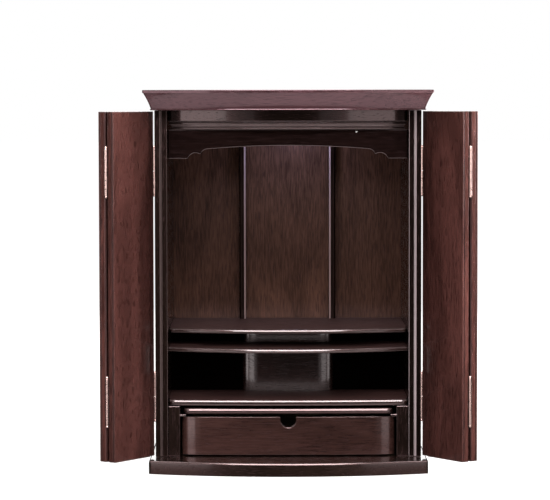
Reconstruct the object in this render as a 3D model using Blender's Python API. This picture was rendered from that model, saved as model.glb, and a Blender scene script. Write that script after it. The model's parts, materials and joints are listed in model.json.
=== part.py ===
"""Household altar cabinet: a tabletop cabinet with a bowed base, a coved cornice, two pairs of
folding doors, three stepped shelves, a slide-out board and a drawer.

Units are metres. +Z is up and the front faces -Y. The origin is on the underside of the base, on
the centre line, in the plane of the side panels' front edges. The doors stand open at rest.
"""

import math

import bpy
import bmesh

# Carcass
CABINET_WIDTH = 0.381
CABINET_DEPTH = 0.242
SIDE_THICKNESS = 0.0175
REBATE_WIDTH = 0.0079
REBATE_DEPTH = 0.0040
REBATE_CHAMFER = 0.0023
BACK_THICKNESS = 0.006
JOINT_GAP = 0.0003

# Base board
BASE_THICKNESS = 0.019
BASE_SIDE_OVERHANG = 0.0082
BASE_FRONT_OVERHANG = 0.041
BASE_BOW = 0.030
BASE_CORNER = 0.005
BASE_EDGE_ROUNDING = 0.0030

# Cornice
CORNICE_HEIGHT = 0.0286
CORNICE_SIDE_OVERHANG = 0.0036
CORNICE_FRONT_OVERHANG = 0.036
CORNICE_BOW = 0.030
CORNICE_CORNER = 0.003
CORNICE_PROJECTION = 0.0115
CORNICE_TOP_LIP = 0.0042
CORNICE_FOOT_BEAD = 0.0022
CORNICE_HOLLOW = 0.35

# Heights inside, from the base upwards
DRAWER_FLOOR_GAP = 0.0020
DRAWER_FRONT_HEIGHT = 0.0545
GAP_UNDER_SLIDE_BOARD = 0.0040
SLIDE_BOARD_THICKNESS = 0.0087
GAP_OVER_SLIDE_BOARD = 0.0033
LOWER_SHELF_THICKNESS = 0.0087
LOWER_TIER_HEIGHT = 0.0667
MIDDLE_SHELF_THICKNESS = 0.0065
UPPER_TIER_HEIGHT = 0.0196
TOP_SHELF_THICKNESS = 0.0065
CHAMBER_HEIGHT = 0.3169

# Shelf fronts, as distances behind the side panels' front edges
LOWER_SHELF_SETBACK = 0.0055
LOWER_SHELF_BOW = 0.0065
LOWER_SHELF_CORNER = 0.009
MIDDLE_SHELF_SETBACK = 0.0083
MIDDLE_SHELF_BOW = 0.036
TOP_SHELF_SETBACK = 0.032
TOP_SHELF_BOW = 0.0226
TOP_SHELF_CORNER = 0.008
SHELF_EDGE_ROUNDING = 0.0024

# Risers and the rounded pedestals in front of them
LOWER_RISER_SETBACK = 0.142
UPPER_RISER_SETBACK = 0.134
RISER_THICKNESS = 0.008
LOWER_PEDESTAL_WIDTH = 0.134
UPPER_PEDESTAL_WIDTH = 0.130
PEDESTAL_THICKNESS = 0.015
PEDESTAL_ROUNDING_WIDTH = 0.026
PEDESTAL_ROUNDING_DEPTH = 0.0125

# Battens on the back panel
BATTEN_SPACING = 0.1355
BATTEN_WIDTH = 0.0098
BATTEN_DEPTH = 0.016
BATTEN_ROUNDING = 0.0035

# Boards across the top of the opening
FASCIA_SETBACK = 0.008
FASCIA_BOW = 0.026
FASCIA_CORNER = 0.008
FASCIA_END_THICKNESS = 0.004
FASCIA_HEIGHT = 0.0163
BEAD_BAND_HEIGHT = 0.0115
BEAD_PROJECTION = 0.0025
UPPER_BEAD_RECESS = 0.0010
LOWER_BEAD_RECESS = 0.0035
UPPER_BEAD_SHARE = 0.42
LOWER_BEAD_SHARE = 0.34
VALANCE_SETBACK = 0.041
VALANCE_THICKNESS = 0.010
VALANCE_END_DROP = 0.0420
VALANCE_FLAT_LENGTH = 0.0281
SMALL_LOBE_RADIUS = 0.0120
SMALL_LOBE_START = 18.0
LARGE_LOBE_RADIUS = 0.0116
LOBE_STEP_IN = 0.0178
LOBE_STEP_UP = 0.0059
ARCH_RISE = 0.0049
VALANCE_EDGE_CHAMFER = 0.0016
BUTTON_RADIUS = 0.0020
BUTTON_PROJECTION = 0.0025
BUTTON_OFFSET = 0.099
BUTTON_DROP = 0.0029

# Drawer, slide-out board and the cheeks that they run between
CHEEK_THICKNESS = 0.0170
CHEEK_SETBACK = 0.008
LEDGE_WIDTH = 0.0085
LEDGE_HEIGHT = 0.0028
DRAWER_SIDE_CLEARANCE = 0.0020
DRAWER_SETBACK = 0.0065
DRAWER_BOW = 0.0025
DRAWER_FRONT_THICKNESS = 0.0175
DRAWER_ROUNDING_WIDTH = 0.030
DRAWER_ROUNDING_DEPTH = 0.0125
DRAWER_SIDE_THICKNESS = 0.009
DRAWER_BACK_THICKNESS = 0.008
DRAWER_BOTTOM_THICKNESS = 0.0035
DRAWER_BOTTOM_RAISE = 0.003
DRAWER_SIDE_HEIGHT = 0.047
DRAWER_REAR_CLEARANCE = 0.024
NOTCH_WIDTH = 0.0234
NOTCH_DEPTH = 0.0154
SLIDE_BOARD_SIDE_CLEARANCE = 0.0047
SLIDE_BOARD_SETBACK = 0.0075
SLIDE_BOARD_BOW = 0.0020
SLIDE_BOARD_CORNER = 0.009
SLIDE_BOARD_REAR_CLEARANCE = 0.033

# Door leaves
DOOR_BOTTOM_CLEARANCE = 0.0030
DOOR_TOP_CLEARANCE = 0.0017
DOOR_STANDOFF = 0.0014
LEAF_BOARD_THICKNESS = 0.0086
LEAF_PANEL_THICKNESS = 0.0036
LEAF_PANEL_SET_IN = 0.0140
LEAF_GROOVE_WIDTH = 0.0013
LEAF_GROOVE_DEPTH = 0.0016
LEAF_EDGE_CHAMFER = 0.0016
LEAF_FOLD_GAP = 0.0012
LEAF_MEETING_GAP = 0.0012
FOLDED_GAP = 0.0028
DOOR_OPEN_ANGLE = 126.0
DOOR_FOLD_ANGLE = 180.0

# Hinges, each in two halves on one pin line
PIN_OVERHANG = 0.0008
BARREL_RADIUS = 0.0022
BARREL_LENGTH = 0.073
BARREL_SPLIT = 0.0006
BARREL_CLEARANCE = 0.00035
PLATE_THICKNESS = 0.0008
PLATE_REACH = 0.0070
PLATE_HEIGHT = 0.033
HINGE_SPREAD = 0.323

# Smoothness of the curves
BOW_STEPS = 14
CORNER_STEPS = 5
COVE_STEPS = 6
LOBE_STEPS = 6
ARCH_STEPS = 10
ROUND_SIDES = 12

# Levels worked out from the heights
BASE_TOP = BASE_THICKNESS
DRAWER_BOTTOM = BASE_TOP + DRAWER_FLOOR_GAP
DRAWER_TOP = DRAWER_BOTTOM + DRAWER_FRONT_HEIGHT
SLIDE_BOARD_BOTTOM = DRAWER_TOP + GAP_UNDER_SLIDE_BOARD
SLIDE_BOARD_TOP = SLIDE_BOARD_BOTTOM + SLIDE_BOARD_THICKNESS
LOWER_SHELF_BOTTOM = SLIDE_BOARD_TOP + GAP_OVER_SLIDE_BOARD
LOWER_SHELF_TOP = LOWER_SHELF_BOTTOM + LOWER_SHELF_THICKNESS
MIDDLE_SHELF_BOTTOM = LOWER_SHELF_TOP + LOWER_TIER_HEIGHT
MIDDLE_SHELF_TOP = MIDDLE_SHELF_BOTTOM + MIDDLE_SHELF_THICKNESS
TOP_SHELF_BOTTOM = MIDDLE_SHELF_TOP + UPPER_TIER_HEIGHT
TOP_SHELF_TOP = TOP_SHELF_BOTTOM + TOP_SHELF_THICKNESS
CEILING = TOP_SHELF_TOP + CHAMBER_HEIGHT

# Planes worked out from the carcass
HALF_WIDTH = CABINET_WIDTH / 2
INNER_HALF = HALF_WIDTH - SIDE_THICKNESS
FITTED_HALF = INNER_HALF - JOINT_GAP
BACK_FACE = CABINET_DEPTH - BACK_THICKNESS
FITTED_BACK = BACK_FACE - JOINT_GAP

# Door planes and pins, worked out for the closed door
PIN_OFFSET = HALF_WIDTH + PIN_OVERHANG
PIN_DEPTH = -(BARREL_RADIUS + BARREL_CLEARANCE)
LEAF_TO_PIN = BARREL_RADIUS + BARREL_CLEARANCE
BOARD_INSIDE = -DOOR_STANDOFF - PIN_DEPTH
BOARD_OUTSIDE = BOARD_INSIDE - LEAF_BOARD_THICKNESS
PANEL_INSIDE = BOARD_INSIDE + LEAF_PANEL_THICKNESS
DOOR_SPAN = PIN_OFFSET - LEAF_TO_PIN - LEAF_MEETING_GAP / 2
LEAF_WIDTH = (DOOR_SPAN - LEAF_FOLD_GAP) / 2
DOOR_BOTTOM = BASE_TOP + DOOR_BOTTOM_CLEARANCE
DOOR_TOP = CEILING - DOOR_TOP_CLEARANCE
FOLD_PIN_ALONG = LEAF_TO_PIN + LEAF_WIDTH + LEAF_FOLD_GAP / 2
FOLD_PIN_ACROSS = BOARD_OUTSIDE - FOLDED_GAP / 2

# Finishes: colour, roughness, metallic
FINISHES = {
    "carcass_wood": ((0.060, 0.022, 0.016), 0.28, 0.0),
    "door_wood": ((0.095, 0.040, 0.030), 0.30, 0.0),
    "front_wood": ((0.070, 0.030, 0.024), 0.22, 0.0),
    "back_wood": ((0.075, 0.038, 0.028), 0.40, 0.0),
    "shadow_black": ((0.012, 0.008, 0.007), 0.45, 0.0),
    "drawer_wood": ((0.400, 0.270, 0.160), 0.60, 0.0),
    "hinge_metal": ((0.780, 0.740, 0.730), 0.25, 1.0),
    "button_metal": ((0.800, 0.790, 0.760), 0.25, 1.0),
}


def clear_scene():
    """Removes whatever the scene holds."""
    for existing in list(bpy.data.objects):
        bpy.data.objects.remove(existing)


def finish_material(finish):
    """The finish's material, made once."""
    material = bpy.data.materials.get(finish)
    if material is None:
        colour, roughness, metallic = FINISHES[finish]
        material = bpy.data.materials.new(finish)
        material.use_nodes = True
        shader = material.node_tree.nodes["Principled BSDF"]
        shader.inputs["Base Color"].default_value = (*colour, 1.0)
        shader.inputs["Roughness"].default_value = roughness
        shader.inputs["Metallic"].default_value = metallic
        material.diffuse_color = (*colour, 1.0)
    return material


def add_piece(name, shape, finish, parent=None):
    """A named object from a bmesh, with its faces turned outwards."""
    bmesh.ops.recalc_face_normals(shape, faces=shape.faces)
    mesh = bpy.data.meshes.new(name)
    shape.to_mesh(mesh)
    shape.free()
    mesh.shade_smooth()
    mesh.set_sharp_from_angle(angle=math.radians(35))
    mesh.materials.append(finish_material(finish))
    piece = bpy.data.objects.new(name, mesh)
    bpy.context.scene.collection.objects.link(piece)
    piece.parent = parent
    return piece


def lofted(rings):
    """A closed shape through rings of equal count, with the first and last ring capped."""
    shape = bmesh.new()
    loops = [[shape.verts.new(point) for point in ring] for ring in rings]
    count = len(loops[0])
    for below, above in zip(loops, loops[1:]):
        for i in range(count):
            j = (i + 1) % count
            shape.faces.new((below[i], below[j], above[j], above[i]))
    shape.faces.new(loops[0])
    shape.faces.new(loops[-1])
    return shape


def upright(outline, low, high):
    """A plan outline of (x, y) points carried from one height to another."""
    return lofted([[(x, y, z) for x, y in outline] for z in (low, high)])


def front_to_back(outline, front, back):
    """An elevation outline of (x, z) points carried from front to back."""
    return lofted([[(x, y, z) for x, z in outline] for y in (front, back)])


def rectangle(low, high):
    """The four corners between two opposite ones."""
    return [(low[0], low[1]), (high[0], low[1]), (high[0], high[1]), (low[0], high[1])]


def rounded_edges(piece, width, segments=2):
    """Rounds every sharp edge of a piece."""
    rounding = piece.modifiers.new("rounded_edges", "BEVEL")
    rounding.width = width
    rounding.segments = segments
    rounding.limit_method = "ANGLE"
    rounding.angle_limit = math.radians(50)


def joined(piece, tool):
    """Fuses a helper shape into a piece."""
    union = piece.modifiers.new("joined", "BOOLEAN")
    union.operation = "UNION"
    union.solver = "EXACT"
    union.object = tool
    as_helper(tool)


def cut(piece, tool):
    """Takes a helper shape out of a piece."""
    opening = piece.modifiers.new("cut", "BOOLEAN")
    opening.operation = "DIFFERENCE"
    opening.solver = "EXACT"
    opening.object = tool
    as_helper(tool)


def as_helper(tool):
    """Keeps a helper shape out of the finished cabinet."""
    tool.hide_render = True
    tool.display_type = "WIRE"


def bowed_outline(half_width, front, back, bow, corner_width=0.0, corner_depth=0.0):
    """A plan with a straight back, a front bowed forward and rounded front corners.

    front is where the middle of the front stands; the ends of its curve lie bow behind that.
    """
    half_curve = half_width - corner_width
    radius = (half_curve**2 + bow**2) / (2 * bow)
    end_y = front + bow
    corner = []
    if corner_width:
        for i in range(CORNER_STEPS):
            turn = math.radians(90) * i / CORNER_STEPS
            corner.append(
                (
                    -half_curve - corner_width * math.cos(turn),
                    end_y + corner_depth * (1 - math.sin(turn)),
                )
            )
    curve = []
    for i in range(BOW_STEPS + 1):
        x = half_curve * (2 * i / BOW_STEPS - 1)
        curve.append((x, front + radius - math.sqrt(radius**2 - x**2)))
    mirrored_corner = [(-x, y) for x, y in reversed(corner)]
    return [(-half_width, back)] + corner + curve + mirrored_corner + [(half_width, back)]


def arc(centre, radius, start, end, steps):
    """Points along a circle, from one angle in degrees to another, ends included."""
    points = []
    for i in range(steps + 1):
        turn = math.radians(start + (end - start) * i / steps)
        points.append(
            (centre[0] + radius * math.cos(turn), centre[1] + radius * math.sin(turn))
        )
    return points


def upper_crossing(centre_a, radius_a, centre_b, radius_b):
    """The higher of the two points where two circles cross."""
    dx = centre_b[0] - centre_a[0]
    dy = centre_b[1] - centre_a[1]
    distance = math.hypot(dx, dy)
    along = (distance**2 + radius_a**2 - radius_b**2) / (2 * distance)
    across = math.sqrt(max(radius_a**2 - along**2, 0.0))
    middle = (centre_a[0] + along * dx / distance, centre_a[1] + along * dy / distance)
    crossings = [
        (middle[0] - side * across * dy / distance, middle[1] + side * across * dx / distance)
        for side in (1, -1)
    ]
    return max(crossings, key=lambda point: point[1])


def angle_to(centre, point):
    """The direction from a centre to a point, in degrees."""
    return math.degrees(math.atan2(point[1] - centre[1], point[0] - centre[0]))


def make_base():
    """The base board, with its top and bottom front edges rounded."""
    rings = []
    for height, inset in (
        (0.0, BASE_EDGE_ROUNDING / 3),
        (BASE_EDGE_ROUNDING / 3, 0.0),
        (BASE_THICKNESS - BASE_EDGE_ROUNDING, 0.0),
        (BASE_THICKNESS - BASE_EDGE_ROUNDING * 0.3, BASE_EDGE_ROUNDING * 0.3),
        (BASE_THICKNESS, BASE_EDGE_ROUNDING),
    ):
        outline = bowed_outline(
            HALF_WIDTH + BASE_SIDE_OVERHANG - inset,
            -BASE_FRONT_OVERHANG - BASE_BOW + inset,
            CABINET_DEPTH,
            BASE_BOW,
            BASE_CORNER,
            BASE_CORNER,
        )
        rings.append([(x, y, height) for x, y in outline])
    add_piece("base", lofted(rings), "carcass_wood")


def cornice_section():
    """(height above the ceiling, projection) from the foot of the cornice to its top."""
    cove_bottom = CORNICE_FOOT_BEAD
    cove_top = CORNICE_HEIGHT - CORNICE_TOP_LIP
    reach = CORNICE_PROJECTION - CORNICE_FOOT_BEAD / 2
    section = [(0.0, 0.0), (CORNICE_FOOT_BEAD / 2, CORNICE_FOOT_BEAD / 2), (cove_bottom, 0.0)]
    for i in range(1, COVE_STEPS + 1):
        share = i / COVE_STEPS
        rise = cove_bottom + (cove_top - cove_bottom) * share
        section.append((rise, reach * share * (1 - CORNICE_HOLLOW * (1 - share))))
    section.append((cove_top, CORNICE_PROJECTION))
    section.append((CORNICE_HEIGHT - CORNICE_FOOT_BEAD / 3, CORNICE_PROJECTION))
    section.append((CORNICE_HEIGHT, CORNICE_PROJECTION - CORNICE_FOOT_BEAD / 3))
    return section


def make_cornice():
    """The top board with its coved edge on the front and both sides."""
    rings = []
    for rise, projection in cornice_section():
        outline = bowed_outline(
            HALF_WIDTH + CORNICE_SIDE_OVERHANG + projection,
            -CORNICE_FRONT_OVERHANG - CORNICE_BOW - projection,
            CABINET_DEPTH,
            CORNICE_BOW,
            CORNICE_CORNER + projection,
            CORNICE_CORNER + projection,
        )
        rings.append([(x, y, CEILING + rise) for x, y in outline])
    add_piece("cornice", lofted(rings), "carcass_wood")


def make_carcass():
    """The side panels, rebated to take the doors' raised panels, and the back panel."""
    for name, side in (("side_panel_left", -1), ("side_panel_right", 1)):
        step = INNER_HALF + REBATE_WIDTH
        outline = [
            (side * HALF_WIDTH, 0.0),
            (side * HALF_WIDTH, CABINET_DEPTH),
            (side * INNER_HALF, CABINET_DEPTH),
            (side * INNER_HALF, REBATE_DEPTH),
            (side * step, REBATE_DEPTH),
            (side * step, REBATE_CHAMFER),
            (side * (step + REBATE_CHAMFER), 0.0),
        ]
        shape = upright(outline, BASE_TOP + JOINT_GAP, CEILING - JOINT_GAP)
        add_piece(name, shape, "carcass_wood")
    outline = rectangle((-FITTED_HALF, BACK_FACE), (FITTED_HALF, CABINET_DEPTH))
    shape = upright(outline, BASE_TOP + JOINT_GAP, CEILING - JOINT_GAP)
    add_piece("back_panel", shape, "back_wood")


def make_shelf(name, bottom, top, setback, bow, corner):
    """A shelf between the side panels with a rounded, bowed front edge."""
    outline = bowed_outline(FITTED_HALF, setback, FITTED_BACK, bow, corner, corner)
    shelf = add_piece(name, upright(outline, bottom, top), "front_wood")
    rounded_edges(shelf, SHELF_EDGE_ROUNDING)


def make_shelves():
    """The three stepped shelves."""
    make_shelf(
        "lower_shelf",
        LOWER_SHELF_BOTTOM,
        LOWER_SHELF_TOP,
        LOWER_SHELF_SETBACK,
        LOWER_SHELF_BOW,
        LOWER_SHELF_CORNER,
    )
    make_shelf(
        "middle_shelf",
        MIDDLE_SHELF_BOTTOM,
        MIDDLE_SHELF_TOP,
        MIDDLE_SHELF_SETBACK,
        MIDDLE_SHELF_BOW,
        0.0,
    )
    make_shelf(
        "top_shelf",
        TOP_SHELF_BOTTOM,
        TOP_SHELF_TOP,
        TOP_SHELF_SETBACK,
        TOP_SHELF_BOW,
        TOP_SHELF_CORNER,
    )


def make_tier(prefix, bottom, top, riser_setback, pedestal_width):
    """The dark riser between two shelves and the pedestal with rounded ends in front of it."""
    low = bottom + JOINT_GAP
    high = top - JOINT_GAP
    riser = rectangle((-FITTED_HALF, riser_setback), (FITTED_HALF, riser_setback + RISER_THICKNESS))
    add_piece(prefix + "_riser", upright(riser, low, high), "shadow_black")
    back = riser_setback - JOINT_GAP
    outline = [(-pedestal_width / 2, back)]
    centre_x = pedestal_width / 2 - PEDESTAL_ROUNDING_WIDTH
    centre_y = back - PEDESTAL_THICKNESS + PEDESTAL_ROUNDING_DEPTH
    for side, start in ((-1, 180), (1, 270)):
        for x, y in arc((0.0, 0.0), 1.0, start, start + 90, CORNER_STEPS + 1):
            outline.append(
                (
                    side * centre_x + PEDESTAL_ROUNDING_WIDTH * x,
                    centre_y + PEDESTAL_ROUNDING_DEPTH * y,
                )
            )
    outline.append((pedestal_width / 2, back))
    add_piece(prefix + "_pedestal", upright(outline, low, high), "front_wood")


def make_battens():
    """Two upright battens with rounded corners, against the back panel."""
    back = FITTED_BACK
    front = back - BATTEN_DEPTH
    half = BATTEN_WIDTH / 2
    for name, side in (("batten_left", -1), ("batten_right", 1)):
        middle = side * BATTEN_SPACING / 2
        outline = [(middle - half, back)]
        for centre, start in (
            (middle - half + BATTEN_ROUNDING, 180),
            (middle + half - BATTEN_ROUNDING, 270),
        ):
            corner = (centre, front + BATTEN_ROUNDING)
            outline += arc(corner, BATTEN_ROUNDING, start, start + 90, 3)
        outline.append((middle + half, back))
        shape = upright(outline, TOP_SHELF_TOP + JOINT_GAP, CEILING - JOINT_GAP)
        add_piece(name, shape, "back_wood")


def bead_band_section(low, high):
    """(height, recess behind the fascia) of two half-round beads, from the bottom to the top."""
    height = high - low
    section = []
    for bottom, top, recess in (
        (low, low + height * LOWER_BEAD_SHARE, LOWER_BEAD_RECESS),
        (high - height * UPPER_BEAD_SHARE, high, UPPER_BEAD_RECESS),
    ):
        middle = (top + bottom) / 2
        half = (top - bottom) / 2
        for i in range(LOBE_STEPS + 1):
            turn = math.radians(180) * i / LOBE_STEPS
            foot = recess + BEAD_PROJECTION
            section.append((middle - half * math.cos(turn), foot - BEAD_PROJECTION * math.sin(turn)))
    return section


def fascia_outline(recess, back):
    """The plan of the bowed boards across the top, set in by a recess."""
    return bowed_outline(
        FITTED_HALF - recess,
        FASCIA_SETBACK + recess,
        back,
        FASCIA_BOW,
        FASCIA_CORNER - recess,
        FASCIA_CORNER - recess,
    )


def valance_outline(top, flat_level):
    """The (x, z) outline: straight on top, scalloped below with two lobes and a shallow arch."""
    flat_end = FITTED_HALF - VALANCE_FLAT_LENGTH
    start = math.radians(SMALL_LOBE_START)
    small = (
        flat_end - SMALL_LOBE_RADIUS * math.cos(start),
        flat_level - SMALL_LOBE_RADIUS * math.sin(start),
    )
    large = (small[0] - LOBE_STEP_IN, small[1] + LOBE_STEP_UP)
    cusp = upper_crossing(small, SMALL_LOBE_RADIUS, large, LARGE_LOBE_RADIUS)
    half = [(FITTED_HALF, flat_level)]
    half += arc(small, SMALL_LOBE_RADIUS, SMALL_LOBE_START, angle_to(small, cusp), LOBE_STEPS)
    half += arc(large, LARGE_LOBE_RADIUS, angle_to(large, cusp), 90.0, LOBE_STEPS)[1:]
    spring_x = large[0]
    spring_z = large[1] + LARGE_LOBE_RADIUS
    arch_radius = (spring_x**2 + ARCH_RISE**2) / (2 * ARCH_RISE)
    for i in range(1, ARCH_STEPS + 1):
        x = spring_x * (1 - i / ARCH_STEPS)
        fall = arch_radius - math.sqrt(arch_radius**2 - x**2)
        half.append((x, spring_z + ARCH_RISE - fall))
    other_half = [(-x, z) for x, z in reversed(half[:-1])]
    return [(FITTED_HALF, top)] + half + other_half + [(-FITTED_HALF, top)]


def make_head():
    """The bowed fascia, the beads, the scalloped valance and the small button under the beads."""
    back = FASCIA_SETBACK + FASCIA_BOW + FASCIA_CORNER + FASCIA_END_THICKNESS
    fascia_bottom = CEILING - FASCIA_HEIGHT
    fascia = upright(fascia_outline(0.0, back), fascia_bottom, CEILING - JOINT_GAP)
    add_piece("fascia", fascia, "carcass_wood")
    band_top = fascia_bottom - JOINT_GAP
    band_bottom = fascia_bottom - BEAD_BAND_HEIGHT
    rings = [
        [(x, y, z) for x, y in fascia_outline(recess, back)]
        for z, recess in bead_band_section(band_bottom, band_top)
    ]
    add_piece("bead_moulding", lofted(rings), "carcass_wood")
    valance_top = band_bottom - JOINT_GAP
    outline = valance_outline(valance_top, valance_top - VALANCE_END_DROP)
    valance = front_to_back(outline, VALANCE_SETBACK, VALANCE_SETBACK + VALANCE_THICKNESS)
    piece = add_piece("valance", valance, "front_wood")
    rounded_edges(piece, VALANCE_EDGE_CHAMFER, 1)
    button_back = VALANCE_SETBACK - JOINT_GAP
    button_front = button_back - BUTTON_PROJECTION
    centre = (BUTTON_OFFSET, valance_top - BUTTON_DROP)
    circle = arc(centre, BUTTON_RADIUS, 0, 360, ROUND_SIDES)[:-1]
    smaller = arc(centre, BUTTON_RADIUS * 0.7, 0, 360, ROUND_SIDES)[:-1]
    rings = [
        [(x, button_back, z) for x, z in circle],
        [(x, button_front + BUTTON_PROJECTION * 0.3, z) for x, z in circle],
        [(x, button_front, z) for x, z in smaller],
    ]
    add_piece("lamp_button", lofted(rings), "button_metal")


def make_cheeks():
    """The cheeks beside the drawer, each with the ledge that carries the slide-out board."""
    ledge_top = SLIDE_BOARD_BOTTOM - JOINT_GAP
    inner = FITTED_HALF - CHEEK_THICKNESS
    for name, side in (("drawer_cheek_left", -1), ("drawer_cheek_right", 1)):
        outline = [
            (side * FITTED_HALF, BASE_TOP + JOINT_GAP),
            (side * FITTED_HALF, LOWER_SHELF_BOTTOM - JOINT_GAP),
            (side * inner, LOWER_SHELF_BOTTOM - JOINT_GAP),
            (side * inner, ledge_top),
            (side * (inner - LEDGE_WIDTH), ledge_top),
            (side * (inner - LEDGE_WIDTH), ledge_top - LEDGE_HEIGHT),
            (side * inner, ledge_top - LEDGE_HEIGHT),
            (side * inner, BASE_TOP + JOINT_GAP),
        ]
        shape = front_to_back(outline, CHEEK_SETBACK, FITTED_BACK)
        add_piece(name, shape, "carcass_wood")


def make_slide_board():
    """The board that slides out above the drawer."""
    half = FITTED_HALF - CHEEK_THICKNESS - SLIDE_BOARD_SIDE_CLEARANCE
    outline = bowed_outline(
        half,
        SLIDE_BOARD_SETBACK,
        FITTED_BACK - SLIDE_BOARD_REAR_CLEARANCE,
        SLIDE_BOARD_BOW,
        SLIDE_BOARD_CORNER,
        SLIDE_BOARD_CORNER,
    )
    board = add_piece(
        "slide_board", upright(outline, SLIDE_BOARD_BOTTOM, SLIDE_BOARD_TOP), "front_wood"
    )
    rounded_edges(board, SHELF_EDGE_ROUNDING)


def make_drawer():
    """The drawer: a thick front with rounded ends and a finger notch, and a plain box behind."""
    half = FITTED_HALF - CHEEK_THICKNESS - DRAWER_SIDE_CLEARANCE
    front_back = DRAWER_SETBACK + DRAWER_FRONT_THICKNESS
    outline = bowed_outline(
        half,
        DRAWER_SETBACK,
        front_back,
        DRAWER_BOW,
        DRAWER_ROUNDING_WIDTH,
        DRAWER_ROUNDING_DEPTH,
    )
    front = add_piece("drawer_front", upright(outline, DRAWER_BOTTOM, DRAWER_TOP), "front_wood")
    notch_radius = NOTCH_WIDTH / 2
    notch_centre = (0.0, DRAWER_TOP - NOTCH_DEPTH + notch_radius)
    notch = arc(notch_centre, notch_radius, 180, 360, 2 * CORNER_STEPS)
    notch += [(notch_radius, DRAWER_TOP + NOTCH_DEPTH), (-notch_radius, DRAWER_TOP + NOTCH_DEPTH)]
    clear = DRAWER_FRONT_THICKNESS
    tool = front_to_back(notch, DRAWER_SETBACK - clear, front_back + clear)
    cut(front, add_piece("finger_notch_cutter", tool, "front_wood"))

    side_outer = half - JOINT_GAP
    side_inner = side_outer - DRAWER_SIDE_THICKNESS
    box_front = front_back + JOINT_GAP
    box_back = FITTED_BACK - DRAWER_REAR_CLEARANCE
    side_top = DRAWER_BOTTOM + DRAWER_SIDE_HEIGHT
    for name, side in (("drawer_side_left", -1), ("drawer_side_right", 1)):
        near, far = sorted((side * side_outer, side * side_inner))
        outline = rectangle((near, box_front), (far, box_back))
        add_piece(name, upright(outline, BASE_TOP + JOINT_GAP, side_top), "drawer_wood")
    between = side_inner - JOINT_GAP
    floor_bottom = DRAWER_BOTTOM + DRAWER_BOTTOM_RAISE
    floor_top = floor_bottom + DRAWER_BOTTOM_THICKNESS
    back_front = box_back - DRAWER_BACK_THICKNESS
    outline = rectangle((-between, back_front), (between, box_back))
    add_piece("drawer_back", upright(outline, DRAWER_BOTTOM, side_top), "drawer_wood")
    outline = rectangle((-between, box_front), (between, back_front - JOINT_GAP))
    add_piece("drawer_bottom", upright(outline, floor_bottom, floor_top), "drawer_wood")


def inner_leaf_outline():
    """The leaf hung on the cabinet, as (along, across) from its pin, for a closed door."""
    near = LEAF_TO_PIN
    far = LEAF_TO_PIN + LEAF_WIDTH
    groove_high = BOARD_INSIDE + LEAF_GROOVE_WIDTH
    return [
        (near, BOARD_INSIDE),
        (near, BOARD_OUTSIDE),
        (far - LEAF_EDGE_CHAMFER, BOARD_OUTSIDE),
        (far, BOARD_OUTSIDE + LEAF_EDGE_CHAMFER),
        (far, BOARD_INSIDE),
        (far - LEAF_GROOVE_DEPTH, BOARD_INSIDE),
        (far - LEAF_GROOVE_DEPTH, groove_high),
        (far, groove_high),
        (far, PANEL_INSIDE),
        (near + LEAF_PANEL_SET_IN, PANEL_INSIDE),
        (near + LEAF_PANEL_SET_IN, BOARD_INSIDE),
    ]


def outer_leaf_outline():
    """The leaf folded on the first one, as (along, across) from the fold pin, when unfolded."""
    near = LEAF_FOLD_GAP / 2
    far = near + LEAF_WIDTH
    outside = BOARD_OUTSIDE - FOLD_PIN_ACROSS
    board_inside = outside + LEAF_BOARD_THICKNESS
    panel_inside = board_inside + LEAF_PANEL_THICKNESS
    groove_high = board_inside + LEAF_GROOVE_WIDTH
    return [
        (near, panel_inside),
        (near, groove_high),
        (near + LEAF_GROOVE_DEPTH, groove_high),
        (near + LEAF_GROOVE_DEPTH, board_inside),
        (near, board_inside),
        (near, outside + LEAF_EDGE_CHAMFER),
        (near + LEAF_EDGE_CHAMFER, outside),
        (far, outside),
        (far, panel_inside),
    ]


def side_plate(along, reach):
    """A plate on the side of a board, as (along, across) corners from the pin."""
    half = PLATE_THICKNESS / 2
    near, far = sorted((0.0, reach))
    return (along - half, near), (along + half, far)


def face_plate(across, reach):
    """A plate on the face of a board, as (along, across) corners from the pin."""
    half = PLATE_THICKNESS / 2
    near, far = sorted((0.0, reach))
    return (near, across - half), (far, across + half)


def hinge_half(name, side, low, high, dome_up, plate, parent):
    """Half a hinge: a barrel with one domed end and the plate that it carries."""
    dome = BARREL_RADIUS * 0.8
    length = high - low
    half_step = 180 / ROUND_SIDES
    rings = []
    for height, share in (
        (0.0, 1.0),
        (length - dome, 1.0),
        (length - dome * 0.45, 0.86),
        (length, 0.4),
    ):
        z = low + height if dome_up else high - height
        circle = arc((0.0, 0.0), BARREL_RADIUS * share, half_step, 360 + half_step, ROUND_SIDES)
        rings.append([(x, y, z) for x, y in circle[:-1]])
    barrel = add_piece(name, lofted(rings), "hinge_metal", parent)
    middle = (low + high) / 2
    (near, front), (far, back) = plate
    left, right = sorted((side * near, side * far))
    outline = rectangle((left, front), (right, back))
    shape = upright(outline, middle - PLATE_HEIGHT / 2, middle + PLATE_HEIGHT / 2)
    joined(barrel, add_piece(name + "_plate_shape", shape, "hinge_metal", parent))


def hinge_pair(prefix, side, inner_half, outer_half):
    """An upper and a lower hinge on one pin line.

    inner_half is the half nearer the middle of the door's height and outer_half the other one,
    each as (name, parent, plate).
    """
    centre = (DOOR_BOTTOM + DOOR_TOP) / 2
    reach = (BARREL_LENGTH - BARREL_SPLIT) / 2
    for level, direction in (("upper", 1), ("lower", -1)):
        middle = centre + direction * HINGE_SPREAD / 2
        for (name, parent, plate), way in ((inner_half, -direction), (outer_half, direction)):
            split = middle + way * BARREL_SPLIT / 2
            low, high = sorted((split, split + way * reach))
            title = "_".join((prefix, level, name))
            hinge_half(title, side, low, high, way > 0, plate, parent)


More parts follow.
